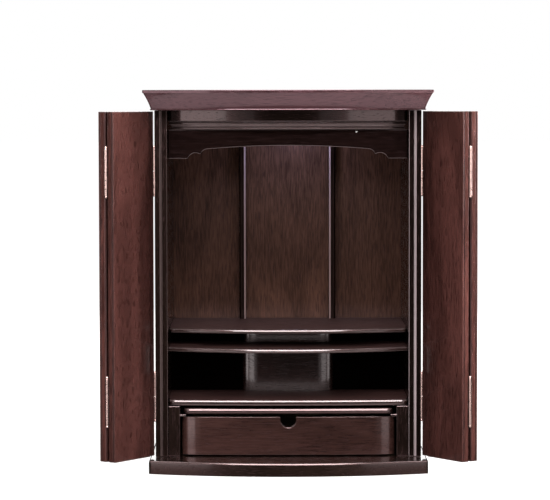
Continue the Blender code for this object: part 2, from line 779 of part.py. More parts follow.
def joint_line(name, location, angle, parent=None):
    """An empty standing on a joint's axis, turned to the angle at rest."""
    empty = bpy.data.objects.new(name, None)
    empty.location = location
    empty.rotation_euler = (0.0, 0.0, math.radians(angle))
    empty.parent = parent
    bpy.context.scene.collection.objects.link(empty)
    return empty


def make_door(label, side):
    """A pair of leaves with their hinges. side is -1 on the left and 1 on the right."""
    pin = (side * PIN_OFFSET, PIN_DEPTH, 0.0)
    fold_pin = (-side * FOLD_PIN_ALONG, FOLD_PIN_ACROSS, 0.0)
    door = "door_" + label
    frame = joint_line(door + "_frame_axis", pin, 0.0)
    swing = joint_line(door + "_swing_axis", pin, side * DOOR_OPEN_ANGLE)
    seat = joint_line(door + "_seat_axis", fold_pin, 0.0, swing)
    fold = joint_line(door + "_fold_axis", fold_pin, side * DOOR_FOLD_ANGLE, swing)
    for name, outline, parent in (
        ("inner_leaf", inner_leaf_outline(), swing),
        ("outer_leaf", outer_leaf_outline(), fold),
    ):
        turned = [(-side * along, across) for along, across in outline]
        shape = upright(turned, DOOR_BOTTOM, DOOR_TOP)
        add_piece(door + "_" + name, shape, "door_wood", parent)
    plate_gap = JOINT_GAP + PLATE_THICKNESS / 2
    hinge_pair(
        "hinge_" + label,
        -side,
        ("leaf_half", swing, side_plate(LEAF_TO_PIN - plate_gap, -PLATE_REACH)),
        ("frame_half", frame, side_plate(PIN_OVERHANG - plate_gap, PLATE_REACH)),
    )
    before_leaf = FOLDED_GAP / 2 - plate_gap
    hinge_pair(
        "fold_hinge_" + label,
        -side,
        ("outer_half", fold, face_plate(before_leaf, PLATE_REACH)),
        ("inner_half", seat, face_plate(before_leaf, -PLATE_REACH)),
    )


def main():
    clear_scene()
    make_base()
    make_carcass()
    make_cornice()
    make_shelves()
    make_tier(
        "lower", LOWER_SHELF_TOP, MIDDLE_SHELF_BOTTOM, LOWER_RISER_SETBACK, LOWER_PEDESTAL_WIDTH
    )
    make_tier(
        "upper", MIDDLE_SHELF_TOP, TOP_SHELF_BOTTOM, UPPER_RISER_SETBACK, UPPER_PEDESTAL_WIDTH
    )
    make_battens()
    make_head()
    make_cheeks()
    make_slide_board()
    make_drawer()
    make_door("left", -1)
    make_door("right", 1)


main()
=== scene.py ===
"""Household altar cabinet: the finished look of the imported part.

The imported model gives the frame: where each piece stands and which body it moves with. This
script models the visible pieces round it at the same sizes with finer edges and curves, gives
every piece its stain, lacquer or metal, and sets the cabinet on a pale studio floor.

Units are metres. +Z is up and the front faces -Y.
"""

import json
import logging
import math
from collections.abc import Callable, Iterable
from dataclasses import dataclass, field, replace
from enum import Enum
from typing import Any

import bmesh
import bpy
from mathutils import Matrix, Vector


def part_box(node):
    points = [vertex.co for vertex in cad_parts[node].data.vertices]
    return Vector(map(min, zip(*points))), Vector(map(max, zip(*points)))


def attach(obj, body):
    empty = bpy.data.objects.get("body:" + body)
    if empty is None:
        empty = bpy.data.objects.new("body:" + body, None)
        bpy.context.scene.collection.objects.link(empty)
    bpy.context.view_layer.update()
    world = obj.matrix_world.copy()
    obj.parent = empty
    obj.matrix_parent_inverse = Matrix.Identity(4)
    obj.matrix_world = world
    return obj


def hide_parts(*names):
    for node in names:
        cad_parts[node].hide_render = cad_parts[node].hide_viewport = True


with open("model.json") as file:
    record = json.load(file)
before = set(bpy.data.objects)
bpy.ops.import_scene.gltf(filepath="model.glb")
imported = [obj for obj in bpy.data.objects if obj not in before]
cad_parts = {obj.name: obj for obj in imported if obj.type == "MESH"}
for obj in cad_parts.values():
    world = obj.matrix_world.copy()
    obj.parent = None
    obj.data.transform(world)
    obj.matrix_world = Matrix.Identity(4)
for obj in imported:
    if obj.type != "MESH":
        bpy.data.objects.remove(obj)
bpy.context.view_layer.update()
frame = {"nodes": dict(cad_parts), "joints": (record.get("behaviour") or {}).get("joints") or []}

log = logging.getLogger("cabinet")

Point = tuple[float, float]
Place = tuple[float, float, float]
Colour = tuple[float, float, float]
Test = Callable[[Any], bool]

# Places closer than this count as one.
NEAR = 1e-5
# The number of stretches in a bow and in a rounded corner.
BOW_STEPS = 16
CORNER_STEPS = 8
# The angles in degrees from which edges stay sharp, on boards and on mouldings.
SHARP = 42.0
SHARP_MOULDING = 30.0


class Side(Enum):
    """The two sides of the cabinet, as signs along X."""

    LEFT = -1
    RIGHT = 1


class Slot(Enum):
    """The record's finishes."""

    CARCASS = "carcass_wood"
    DOOR = "door_wood"
    FRONT = "front_wood"
    BACK = "back_wood"
    SHADOW = "shadow_black"
    DRAWER = "drawer_wood"
    HINGE = "hinge_metal"
    BUTTON = "button_metal"


class Grain(Enum):
    """The direction in which the fibres of a board run."""

    ACROSS = 0
    DEEP = 1
    UPRIGHT = 2


@dataclass(frozen=True)
class Lay:
    """How the grain lies in a board.

    shift is how far the pattern is moved, so that boards of one finish differ. turn is the
    board's turn about the upright axis, in degrees. way is the side along X of the upright
    edges that get a painted highlight, or 0 where only level edges get one.
    """

    grain: Grain
    shift: float = 0.0
    turn: float = 0.0
    way: int = 0


class Sheet(Enum):
    """The flat on which an outline is drawn, as its two axes."""

    PLAN = ((1.0, 0.0, 0.0), (0.0, 1.0, 0.0))
    ELEVATION = ((1.0, 0.0, 0.0), (0.0, 0.0, 1.0))

    @property
    def facing(self) -> Vector:
        """The direction that the flat faces."""
        return Vector(self.value[0]).cross(Vector(self.value[1]))

    def place(self, point: Point, level: float) -> Vector:
        """A drawn point in space, level metres along the facing direction."""
        first, second = (Vector(axis) for axis in self.value)
        return first * point[0] + second * point[1] + self.facing * level


class Wire:
    """A shader socket that takes part in Python sums."""

    def __init__(self, shader: "Shader", socket: bpy.types.NodeSocket | None) -> None:
        """Holds the socket and the shader that it belongs to."""
        self.shader = shader
        self.socket = socket

    def __add__(self, other: "Wire | float") -> "Wire":
        """The sum of both values."""
        return self.shader.maths("ADD", self, other)

    def __sub__(self, other: "Wire | float") -> "Wire":
        """This value less the other."""
        return self.shader.maths("SUBTRACT", self, other)

    def __rsub__(self, other: float) -> "Wire":
        """A number less this value."""
        return self.shader.maths("SUBTRACT", other, self)

    def __mul__(self, other: "Wire | float") -> "Wire":
        """The product of both values."""
        return self.shader.maths("MULTIPLY", self, other)

    __radd__ = __add__
    __rmul__ = __mul__

    def sine(self) -> "Wire":
        """The sine of this value."""
        return self.shader.maths("SINE", self)

    def band(self, low: float, high: float) -> "Wire":
        """A smooth step from 0 at low to 1 at high."""
        return self.shader.node(
            "ShaderNodeMapRange",
            {"interpolation_type": "SMOOTHSTEP"},
            {0: self, 1: low, 2: high},
        )


class Shader:
    """The nodes of a material or a background in the making."""

    def __init__(self, owner: bpy.types.Material | bpy.types.World) -> None:
        """Empties the owner's node tree."""
        self.owner = owner
        owner.use_nodes = True
        self.tree = owner.node_tree
        self.tree.nodes.clear()

    def node(
        self,
        kind: str,
        settings: dict[str, Any] | None = None,
        sockets: dict[int | str, Any] | None = None,
        output: int | str = 0,
    ) -> Wire:
        """Makes a node.

        Args:
            kind: The node's type.
            settings: Its properties, set before its sockets are.
            sockets: A value or a Wire for each named or numbered input.
            output: The output that is wanted.

        Returns:
            The chosen output, ready for use in an expression, or an empty Wire where there is none.
        """
        made = self.tree.nodes.new(kind)
        for name, value in (settings or {}).items():
            setattr(made, name, value)
        for name, value in (sockets or {}).items():
            if isinstance(value, Wire):
                self.tree.links.new(value.socket, made.inputs[name])
            else:
                made.inputs[name].default_value = value
        return Wire(self, made.outputs[output] if made.outputs else None)

    def maths(self, operation: str, first: Any, second: Any = 0.0) -> Wire:
        """A Math node on one or two values."""
        return self.node("ShaderNodeMath", {"operation": operation}, {0: first, 1: second})

    def noise(self, place: Wire, scale: float, detail: float = 2.0, warp: float = 0.0) -> Wire:
        """Noise in three dimensions, read at a place."""
        sockets = {"Vector": place, "Scale": scale, "Detail": detail, "Distortion": warp}
        return self.node("ShaderNodeTexNoise", None, sockets)

    def tinted(self, share: Wire, first: Any, second: Any, how: str = "MIX") -> Wire:
        """Two colours mixed by a share."""
        colours = {
            6: (*first, 1.0) if isinstance(first, tuple) else first,
            7: (*second, 1.0) if isinstance(second, tuple) else second,
        }
        settings = {"data_type": "RGBA", "blend_type": how}
        return self.node("ShaderNodeMix", settings, {0: share, **colours}, 2)

    def board(self, lay: Lay, stretch: float) -> Wire:
        """A board's own coordinates, drawn out along its fibres by a factor."""
        scale = [1.0, 1.0, 1.0]
        scale[lay.grain.value] = stretch
        sockets = {
            "Vector": self.node("ShaderNodeTexCoord", output="Object"),
            "Location": (lay.shift, lay.shift * 0.7, lay.shift * 1.3),
            "Rotation": (0.0, 0.0, math.radians(lay.turn)),
            "Scale": scale,
        }
        return self.node("ShaderNodeMapping", {"vector_type": "TEXTURE"}, sockets)

    def facing(self, axis: int) -> Wire:
        """The surface normal's share along an axis: 0 for X, 1 for Y and 2 for Z."""
        normal = self.node("ShaderNodeNewGeometry", output="Normal")
        return self.node("ShaderNodeSeparateXYZ", None, {0: normal}, axis)

    def edges(self, radius: float) -> Wire:
        """How close a point is to an edge.

        Args:
            radius: How far from the edge it starts to count.

        Returns:
            0 on the flat and 1 on the edge.
        """
        softened = self.node("ShaderNodeBevel", {"samples": 4}, {"Radius": radius})
        normal = self.node("ShaderNodeNewGeometry", output="Normal")
        settings = {"operation": "DOT_PRODUCT"}
        agreement = self.node("ShaderNodeVectorMath", settings, {0: softened, 1: normal}, 1)
        return (1.0 - agreement).band(0.004, 0.12)

    def corners(self, reach: float) -> Wire:
        """How deep a point lies in a corner or a groove, from 0 in the open to 1, for painted shade.
        """
        settings = {"samples": 4}
        clear = self.node("ShaderNodeAmbientOcclusion", settings, {"Distance": reach}, "AO")
        return (1.0 - clear).band(0.2, 0.7)

    def rims(self, way: int) -> Wire:
        """How far a point lies on a rounded edge.

        Args:
            way: The side along X that lit upright edges face, or 0 for level edges only.

        Returns:
            0 on flats and 1 in the middle of a rounding.
        """
        x, y, z = (self.facing(axis) for axis in range(3))
        flat = z * z
        level = (flat * (1.0 - flat) * 4.0).band(0.35, 0.95)
        upright = (x * y * (-2.0 * way)).band(0.25, 0.8)
        return level + upright

    def tops(self) -> Wire:
        """1 on faces that look straight up and 0 elsewhere."""
        return self.facing(2).band(0.96, 0.995)

    def relief(self, height: Wire, strength: float, distance: float) -> Wire:
        """A surface normal raised by a height."""
        sockets = {"Strength": strength, "Distance": distance, "Height": height}
        return self.node("ShaderNodeBump", None, sockets)

    def surface(self, **sockets: Any) -> bpy.types.Material:
        """Closes the material with a Principled surface.

        Args:
            sockets: Its inputs, with "_" for each space in a name.

        Returns:
            The finished material.
        """
        named = {name.replace("_", " "): value for name, value in sockets.items()}
        principled = self.node("ShaderNodeBsdfPrincipled", None, named)
        self.node("ShaderNodeOutputMaterial", None, {"Surface": principled})
        return self.owner


@dataclass(frozen=True)
class WoodFinish:
    """Stained wood under lacquer.

    The broad figure, the fine fibres and the dark pores each have a strength from 0 to 1. The
    scales say how many of each there are to the metre, across the grain.
    """

    slot: Slot
    dark: Colour
    light: Colour
    # Eased edges are lightened to this colour, for wear and as a painted highlight.
    wear_and_highlight_colour: Colour
    # Rounded edges get this colour, in this share, as a painted highlight.
    rim: Colour = (0.19, 0.140, 0.138)
    painted_highlight_share: float = 0.0
    satin_top: float = 0.0
    roughness: float = 0.18
    coat: float = 0.5
    coat_roughness: float = 0.08
    sheen: float = 0.5
    sheen_colour: Colour = (1.0, 0.55, 0.55)
    figure: float = 0.5
    fibres: float = 0.45
    pores: float = 0.6
    cloud_scale: float = 11.0
    cloud_stretch: float = 5.0
    rings: float = 34.0
    fibre_scale: float = 480.0
    fibre_stretch: float = 11.0
    streak_scale: float = 120.0
    pore_scale: float = 700.0
    grain_height: float = 0.0002
    wear_and_highlight_radius: float = 0.0016
    wear_and_highlight_scale: float = 90.0
    wear_and_highlight: float = 0.55
    # How far into corners and grooves shade is painted, how strongly and in which colour.
    painted_shade_reach: float = 0.004
    painted_shade: float = 0.8
    painted_shade_colour: Colour = (0.0010, 0.0006, 0.0005)

    def toned(self, tone: float) -> "WoodFinish":
        """The same finish on lighter or darker wood."""
        dark, light = (
            tuple(channel * tone for channel in colour) for colour in (self.dark, self.light)
        )
        return replace(self, dark=dark, light=light)

    def material(self, lay: Lay) -> bpy.types.Material:
        """The finish on boards with one lay of the grain.

        Args:
            lay: How the grain lies.

        Returns:
            The material, made once for each lay.
        """
        grain = lay.grain.name.lower()
        name = f"{self.slot.value}_{grain}_{lay.turn:.0f}_{lay.shift:.1f}_{lay.way}"
        known = bpy.data.materials.get(name)
        if known is not None:
            return known
        shader = Shader(bpy.data.materials.new(name))
        broad = shader.board(lay, self.cloud_stretch)
        fine = shader.board(lay, self.fibre_stretch)
        clouds = shader.noise(broad, self.cloud_scale, 3.0, 0.5)
        rings = (clouds * self.rings).sine() * 0.5 + 0.5
        fibres = shader.noise(fine, self.fibre_scale, 3.0)
        streaks = shader.noise(fine, self.streak_scale, 2.0)
        pores = shader.noise(fine, self.pore_scale, 1.0).band(0.56, 0.68)
        tone = (clouds.band(0.30, 0.72) * 0.6 + rings * 0.4) * self.figure
        tone = tone + (fibres.band(0.32, 0.68) * 0.6 + streaks * 0.4) * self.fibres
        stained = shader.tinted(tone, self.dark, self.light)
        flecked = shader.tinted(pores * self.pores, stained, self.dark, "MULTIPLY")
        # Eased edges are lightened in patches, partly as wear and partly as a painted highlight, and
        # lose some lacquer.
        patches = shader.noise(broad, self.wear_and_highlight_scale, 3.0).band(0.38, 0.62)
        worn_and_highlit_edges = shader.edges(self.wear_and_highlight_radius) * patches
        # Painted highlight along rounded edges, on the side that the lay's way names.
        painted_highlight = shader.rims(lay.way) * (streaks * 0.4 + 0.8) * self.painted_highlight_share
        # Painted shade: corners and grooves are darkened by how little open space they see.
        painted_shade_share = shader.corners(self.painted_shade_reach) * self.painted_shade
        corner_shaded = shader.tinted(painted_shade_share, flecked, self.painted_shade_colour)
        worn_and_highlit = shader.tinted(worn_and_highlit_edges * self.wear_and_highlight, corner_shaded, self.wear_and_highlight_colour)
        satin = shader.tops() * self.satin_top
        return shader.surface(
            Base_Color=shader.tinted(painted_highlight, worn_and_highlit, self.rim),
            Roughness=fibres * 0.16 + pores * 0.14 + satin * 0.4 + (self.roughness - 0.08),
            Coat_Weight=(self.coat - worn_and_highlit_edges * 0.25 - pores * 0.12) * (1.0 - satin),
            Coat_Roughness=self.coat_roughness,
            Specular_IOR_Level=self.sheen,
            Specular_Tint=(*self.sheen_colour, 1.0),
            Normal=shader.relief(fibres * 0.5 - pores, 0.07, self.grain_height),
        )


@dataclass(frozen=True)
class MetalFinish:
    """Plated metal with fine brushing and a little tarnish."""

    slot: Slot
    bright: Colour
    tarnish: Colour
    roughness: float = 0.24
    brush_scale: float = 2600.0
    stain_scale: float = 160.0
    stretch: float = 12.0
    brush_height: float = 0.0002

    def material(self) -> bpy.types.Material:
        """The finish on metal pieces.

        Returns:
            The material, made once.
        """
        name = f"{self.slot.value}_{self.roughness * 100:.0f}"
        known = bpy.data.materials.get(name)
        if known is not None:
            return known
        shader = Shader(bpy.data.materials.new(name))
        upright = shader.board(Lay(Grain.UPRIGHT), self.stretch)
        brushing = shader.noise(upright, self.brush_scale, 2.0)
        stains = shader.noise(upright, self.stain_scale, 3.0).band(0.48, 0.75)
        return shader.surface(
            Base_Color=shader.tinted(stains * 0.55, self.bright, self.tarnish),
            Metallic=1.0,
            Roughness=brushing * 0.14 + stains * 0.16 + (self.roughness - 0.07),
            Normal=shader.relief(brushing, 0.12, self.brush_height),
        )


# The rim colours and shares below paint highlights along rounded edges.
CARCASS_FINISH = WoodFinish(
    Slot.CARCASS,
    (0.0045, 0.0023, 0.0016),
    (0.0135, 0.0076, 0.0055),
    (0.050, 0.027, 0.023),
    painted_highlight_share=0.9,
)
# The cornice's stain is lighter and pinker than the carcass's: it paints the sheen that the cove
# catches.
CORNICE_FINISH_AND_PAINTED_SHEEN = WoodFinish(
    Slot.CARCASS,
    (0.014, 0.0055, 0.0060),
    (0.054, 0.0215, 0.0240),
    (0.130, 0.075, 0.075),
    sheen_colour=(1.0, 0.5, 0.6),
    coat=0.4,
    satin_top=1.0,
)
DOOR_FINISH = WoodFinish(
    Slot.DOOR, (0.006, 0.0021, 0.0016), (0.056, 0.0200, 0.0168), (0.090, 0.038, 0.033), figure=0.65
)
FRONT_FINISH = WoodFinish(
    Slot.FRONT,
    (0.005, 0.0021, 0.0016),
    (0.033, 0.0148, 0.0124),
    (0.070, 0.035, 0.030),
    painted_highlight_share=0.5,
)
PEDESTAL_FINISH = replace(FRONT_FINISH, roughness=0.22, sheen=0.6, sheen_colour=(1.0, 0.8, 0.8))
SHELF_FINISH = replace(FRONT_FINISH.toned(1.5), coat=0.9, sheen=0.3, satin_top=1.0)
BACK_FINISH = WoodFinish(
    Slot.BACK,
    (0.010, 0.0046, 0.0030),
    (0.165, 0.0760, 0.0500),
    (0.130, 0.065, 0.050),
    sheen=0.2,
    coat=0.2,
    coat_roughness=0.2,
)
SHADOW_FINISH = WoodFinish(
    Slot.SHADOW,
    (0.0010, 0.0006, 0.0005),
    (0.0030, 0.0016, 0.0013),
    (0.010, 0.006, 0.005),
    sheen=0.0,
    coat=0.0,
    figure=0.3,
)
DRAWER_FINISH = WoodFinish(
    Slot.DRAWER,
    (0.130, 0.080, 0.042),
    (0.260, 0.185, 0.110),
    (0.280, 0.210, 0.135),
    roughness=0.6,
    sheen_colour=(1.0, 1.0, 1.0),
    coat=0.1,
    pores=0.25,
)
HINGE_FINISH = MetalFinish(Slot.HINGE, (0.66, 0.46, 0.42), (0.30, 0.18, 0.155))
BUTTON_FINISH = MetalFinish(Slot.BUTTON, (0.88, 0.87, 0.84), (0.50, 0.47, 0.42), 0.2)
SCREW_FINISH = MetalFinish(Slot.HINGE, (0.10, 0.07, 0.06), (0.03, 0.02, 0.02), 0.4)


@dataclass(frozen=True)
class BowedPlan:
    """A plan with a straight back, a front bowed forward and rounded front corners.

    front is where the middle of the front stands.
    """

    half_width: float
    front: float
    back: float
    bow: float
    corner_width: float
    corner_depth: float


def set_out(name: str, data: Any) -> bpy.types.Object:
    """Puts a mesh, a light or a camera into the scene as a new object."""
    piece = bpy.data.objects.new(name, data)
    bpy.context.scene.collection.objects.link(piece)
    return piece


def ellipse(centre: Point, radii: Point, start: float, end: float, steps: int) -> list[Point]:
    """Points along an ellipse.

    Args:
        centre: Its middle.
        radii: Its half width and half height.
        start: The first angle, in degrees.
        end: The last angle, in degrees.
        steps: The number of stretches between the two.

    Returns:
        The points, ends included.
    """
    turns = (math.radians(start + (end - start) * i / steps) for i in range(steps + 1))
    return [
        (centre[0] + radii[0] * math.cos(turn), centre[1] + radii[1] * math.sin(turn))
        for turn in turns
    ]


class Bench:
    """The bench at which pieces are shaped, one at a time, with Blender's own tools."""

    piece: bpy.types.Object
    sheet: Sheet
    level: float
    pen: Point

    def clear(self) -> None:
        """Leaves edit mode with nothing selected."""
        if bpy.context.mode != "OBJECT":
            bpy.ops.object.mode_set(mode="OBJECT")
        bpy.ops.object.select_all(action="DESELECT")

    def take(self, piece: bpy.types.Object) -> None:
        """Puts a piece on the bench and opens its mesh.

        Args:
            piece: The piece.
        """
        self.clear()
        piece.select_set(True)
        bpy.context.view_layer.objects.active = piece
        self.piece = piece
        bpy.ops.object.mode_set(mode="EDIT")
        bpy.ops.mesh.select_mode(type="VERT")
        bpy.ops.mesh.select_all(action="SELECT")

    def block(self, name: str, low: Vector, high: Vector) -> None:
        """Starts a piece as a block.

        Args:
            name: The piece's name.
            low: Its lowest corner.
            high: Its highest corner.
        """
        self.clear()
        centre = (low + high) / 2
        bpy.ops.mesh.primitive_cube_add(size=1.0)
        bpy.context.object.name = name
        self.take(bpy.context.object)
        bpy.ops.transform.resize(value=high - low, center_override=(0.0, 0.0, 0.0))
        bpy.ops.transform.translate(value=centre)

    def copy_of(self, name: str, node: str) -> None:
        """Starts a piece as a merged copy of a CAD node's solid, with whole flat faces.

        Args:
            name: The piece's name.
            node: The CAD node.
        """
        self.clear()
        piece = set_out(name, frame["nodes"][node].data.copy())
        piece.select_set(True)
        bpy.context.view_layer.objects.active = piece
        bpy.ops.mesh.customdata_custom_splitnormals_clear()
        self.take(piece)
        bpy.ops.mesh.remove_doubles(threshold=NEAR)
        bpy.ops.mesh.dissolve_limited(angle_limit=math.radians(0.5))

    def eased_copy(self, node: str, width: float, segments: int = 2) -> None:
        """Starts a board as a copy of a CAD node's solid with its sharp edges eased."""
        self.copy_of(node + "_board", node)
        self.ease(width, segments)

    def begin(self, name: str, sheet: Sheet, level: float, point: Point) -> None:
        """Starts an outline at one point: a plane merged into a single vertex.

        Args:
            name: The piece's name.
            sheet: The flat on which the outline is drawn.
            level: How far the flat stands along its facing direction.
            point: Where the outline starts.
        """
        self.clear()
        bpy.ops.mesh.primitive_plane_add(size=0.01)
        bpy.context.object.name = name
        self.take(bpy.context.object)
        bpy.ops.mesh.merge(type="CENTER")
        bpy.ops.transform.translate(value=sheet.place(point, level))
        self.sheet = sheet
        self.level = level
        self.pen = point

    def follow(self, points: Iterable[Point]) -> None:
        """Draws the outline on through more points, by extruding its last vertex.

        Args:
            points: The points in order. One that repeats the last is left out.
        """
        for point in points:
            step = self.sheet.place((point[0] - self.pen[0], point[1] - self.pen[1]), 0.0)
            if step.length > NEAR:
                bpy.ops.mesh.extrude_vertices_move(TRANSFORM_OT_translate={"value": step})
                self.pen = point

    def sweep(self, centre: Point, degrees: float, steps: int) -> None:
        """Draws the outline on round a centre.

        Args:
            centre: The middle of the arc.
            degrees: Its angle, positive for anticlockwise.
            steps: The number of stretches in it.
        """
        bpy.ops.mesh.spin(
            steps=steps,
            angle=-math.radians(degrees),
            center=self.sheet.place(centre, self.level),
            axis=self.sheet.facing,
        )
        turn = math.radians(degrees)
        across = self.pen[0] - centre[0]
        up = self.pen[1] - centre[1]
        self.pen = (
            centre[0] + across * math.cos(turn) - up * math.sin(turn),
            centre[1] + across * math.sin(turn) + up * math.cos(turn),
        )

    def close(self, mirrored: bool = False) -> None:
        """Closes the outline and fills it.

        Args:
            mirrored: Whether only the right half was drawn, which is mirrored first.
        """
        bpy.ops.mesh.select_all(action="SELECT")
        if mirrored:
            bpy.ops.mesh.symmetrize(direction="POSITIVE_X", threshold=NEAR)
            bpy.ops.mesh.select_all(action="SELECT")
        bpy.ops.mesh.remove_doubles(threshold=NEAR)
        bpy.ops.mesh.edge_face_add()

    def draw_bowed(self, name: str, plan: BowedPlan, level: float) -> None:
        """Draws a bowed plan.

        Args:
            name: The piece's name.
            plan: The plan.
            level: The height at which it lies.
        """
        half_curve = plan.half_width - plan.corner_width
        radius = (half_curve**2 + plan.bow**2) / (2 * plan.bow)
        half_angle = math.degrees(math.asin(half_curve / radius))
        self.begin(name, Sheet.PLAN, level, (0.0, plan.front))
        self.sweep((0.0, plan.front + radius), half_angle, BOW_STEPS)
        if plan.corner_width:
            centre = (half_curve, plan.front + plan.bow + plan.corner_depth)
            radii = (plan.corner_width, plan.corner_depth)
            self.follow(ellipse(centre, radii, -90.0, 0.0, CORNER_STEPS))
        self.follow([(plan.half_width, plan.back), (0.0, plan.back)])
        self.close(mirrored=True)

    def bowed_board(
        self, name: str, node: str, bow: float, width: float, depth: float | None = None
    ) -> BowedPlan:
        """Makes a board of one thickness with a bowed front that fills a CAD node's box.

        Args:
            name: The board's name.
            node: The CAD node.
            bow: How far the front's middle stands before its ends.
            width: The width of its rounded front corners.
            depth: The depth of those corners, or None if it is their width.

        Returns:
            The board's plan.
        """
        low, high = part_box(node)
        depth = width if depth is None else depth
        plan = BowedPlan(high.x, low.y, high.y, bow, width, depth)
        self.draw_bowed(name, plan, low.z)
        self.extrude((0.0, 0.0, high.z - low.z))
        return plan

    def raise_section(self, foot: BowedPlan, section: list[Point]) -> None:
        """Raises a drawn bowed plan through a section, widening and narrowing it on the way.

        Args:
            foot: The plan that was drawn, at projection 0.
            section: (height above the foot, projection beyond it) from the foot upwards.
        """
        depth = foot.back - foot.front
        height, reach = section[0]
        for rise, projection in section[1:]:
            widen = (
                (foot.half_width + projection) / (foot.half_width + reach),
                (depth + projection) / (depth + reach),
                1.0,
            )
            self.extrude((0.0, 0.0, rise - height))
            bpy.ops.transform.resize(value=widen, center_override=(0.0, foot.back, 0.0))
            height, reach = rise, projection

    def extrude(self, step: Place) -> None:
        """Extrudes the selected face by a step."""
        bpy.ops.mesh.extrude_region_move(TRANSFORM_OT_translate={"value": step})

    def turn_round(self, steps: int, centre: Place, axis: Place) -> None:
        """Spins the drawn half section once round an axis through a centre."""
        bpy.ops.mesh.select_all(action="SELECT")
        bpy.ops.mesh.spin(steps=steps, angle=math.tau, center=centre, axis=axis)

    def round_edges(self, test: Test, width: float, segments: int = 4) -> None:
        """Rounds the edges that a test accepts.

        Args:
            test: Says of an edge whether it is rounded.
            width: How far the rounding reaches from the edge.
            segments: The number of flats across it.
        """
        bpy.ops.mesh.select_all(action="DESELECT")
        bpy.ops.mesh.select_mode(type="EDGE")
        mesh = bmesh.from_edit_mesh(self.piece.data)
        for edge in mesh.edges:
            if test(edge):
                edge.select = True
        bmesh.update_edit_mesh(self.piece.data)
        bpy.ops.mesh.bevel(offset=width, segments=segments, profile=0.5)

    def modify(self, kind: str, **settings: Any) -> None:
        """Applies a modifier to the piece, which stays in object mode.

        Args:
            kind: The modifier's type.
            settings: Its properties.
        """
        bpy.ops.object.mode_set(mode="OBJECT")
        bpy.ops.object.modifier_add(type=kind)
        modifier = self.piece.modifiers[-1]
        for name, value in settings.items():
            setattr(modifier, name, value)
        bpy.ops.object.modifier_apply(modifier=modifier.name)

    def ease(self, width: float, segments: int = 2, angle: float = 30.0) -> None:
        """Eases every sharp edge of the piece by a bevel.

        Args:
            width: How far the bevel reaches from the edge.
            segments: The number of flats across it.
            angle: The angle in degrees from which an edge counts as sharp.
        """
        self.settle_normals()
        limit = {"limit_method": "ANGLE", "angle_limit": math.radians(angle)}
        self.modify("BEVEL", width=width, segments=segments, **limit)
        bpy.ops.object.mode_set(mode="EDIT")

    def cut(self, tool: bpy.types.Object) -> None:
        """Takes a tool's shape out of the piece and puts the tool away.

        Args:
            tool: The tool.
        """
        self.modify("BOOLEAN", operation="DIFFERENCE", solver="EXACT", object=tool)
        bpy.data.objects.remove(tool)
        self.take(self.piece)

    def settle_normals(self) -> None:
        """Merges doubles and turns every face outwards."""
        bpy.ops.mesh.select_all(action="SELECT")
        bpy.ops.mesh.remove_doubles(threshold=NEAR / 2)
        bpy.ops.mesh.normals_make_consistent(inside=False)

    def join(self, pieces: list[bpy.types.Object]) -> bpy.types.Object:
        """Joins pieces.

        Args:
            pieces: The pieces.

        Returns:
            The first of them, which now holds all.
        """
        self.clear()
        for piece in pieces:
            piece.select_set(True)
        bpy.context.view_layer.objects.active = pieces[0]
        bpy.ops.object.join()
        return pieces[0]

    def finish(self, sharp: float = SHARP) -> bpy.types.Object:
        """Takes the finished piece off the bench, smoothly shaded.

        Args:
            sharp: The angle in degrees from which an edge stays sharp.

        Returns:
            The piece, with its place in its mesh.
        """
        self.settle_normals()
        bpy.ops.object.mode_set(mode="OBJECT")
        bpy.ops.object.transform_apply(location=True, rotation=True, scale=True)
        bpy.ops.object.shade_smooth_by_angle(angle=math.radians(sharp))
        self.modify("WEIGHTED_NORMAL", keep_sharp=True)
        self.piece.data.materials.clear()
        self.clear()
        return self.piece


bench = Bench()


def dress(
    piece: bpy.types.Object,
    material: bpy.types.Material,
    slot: Slot,
    body: str,
    *nodes: str,
) -> None:
    """Gives a piece its finish and its place in the frame.

    Args:
        piece: The finished piece.
        material: Its material.
        slot: The record's finish that it stands for. It is not used.
        body: The body that it rides on.
        nodes: The CAD nodes that it stands for.
    """
    piece.data.materials.append(material)
    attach(piece, body)
    if nodes:
        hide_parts(*nodes)
    log.info("%s rides on %s with %d faces", piece.name, body, len(piece.data.polygons))


def lacquer(wood: WoodFinish, lay: Lay, body: str, node: str, sharp: float = SHARP) -> None:
    """Takes a wooden piece off the bench and dresses it.

    Args:
        wood: Its finish.
        lay: How its grain lies.
        body: The body that it rides on.
        node: The CAD node that it stands for.
        sharp: The angle in degrees from which an edge stays sharp.
    """
    material = wood.material(lay)
    dress(bench.finish(sharp), material, wood.slot, body, node)


def in_front(back: float, level: float | None = None) -> Test:
    """Makes a test for level edges in front of a back plane.

    Args:
        back: The Y of the back plane.
        level: The height of the edges, or None for all heights.

    Returns:
        The test.
    """

    def test(edge: Any) -> bool:
        """Whether an edge is level, in front and at the height."""
        first, second = (vertex.co for vertex in edge.verts)
        wanted = level is None or abs(first.z - level) < NEAR
        return wanted and abs(first.z - second.z) < NEAR and min(first.y, second.y) < back - NEAR

    return test


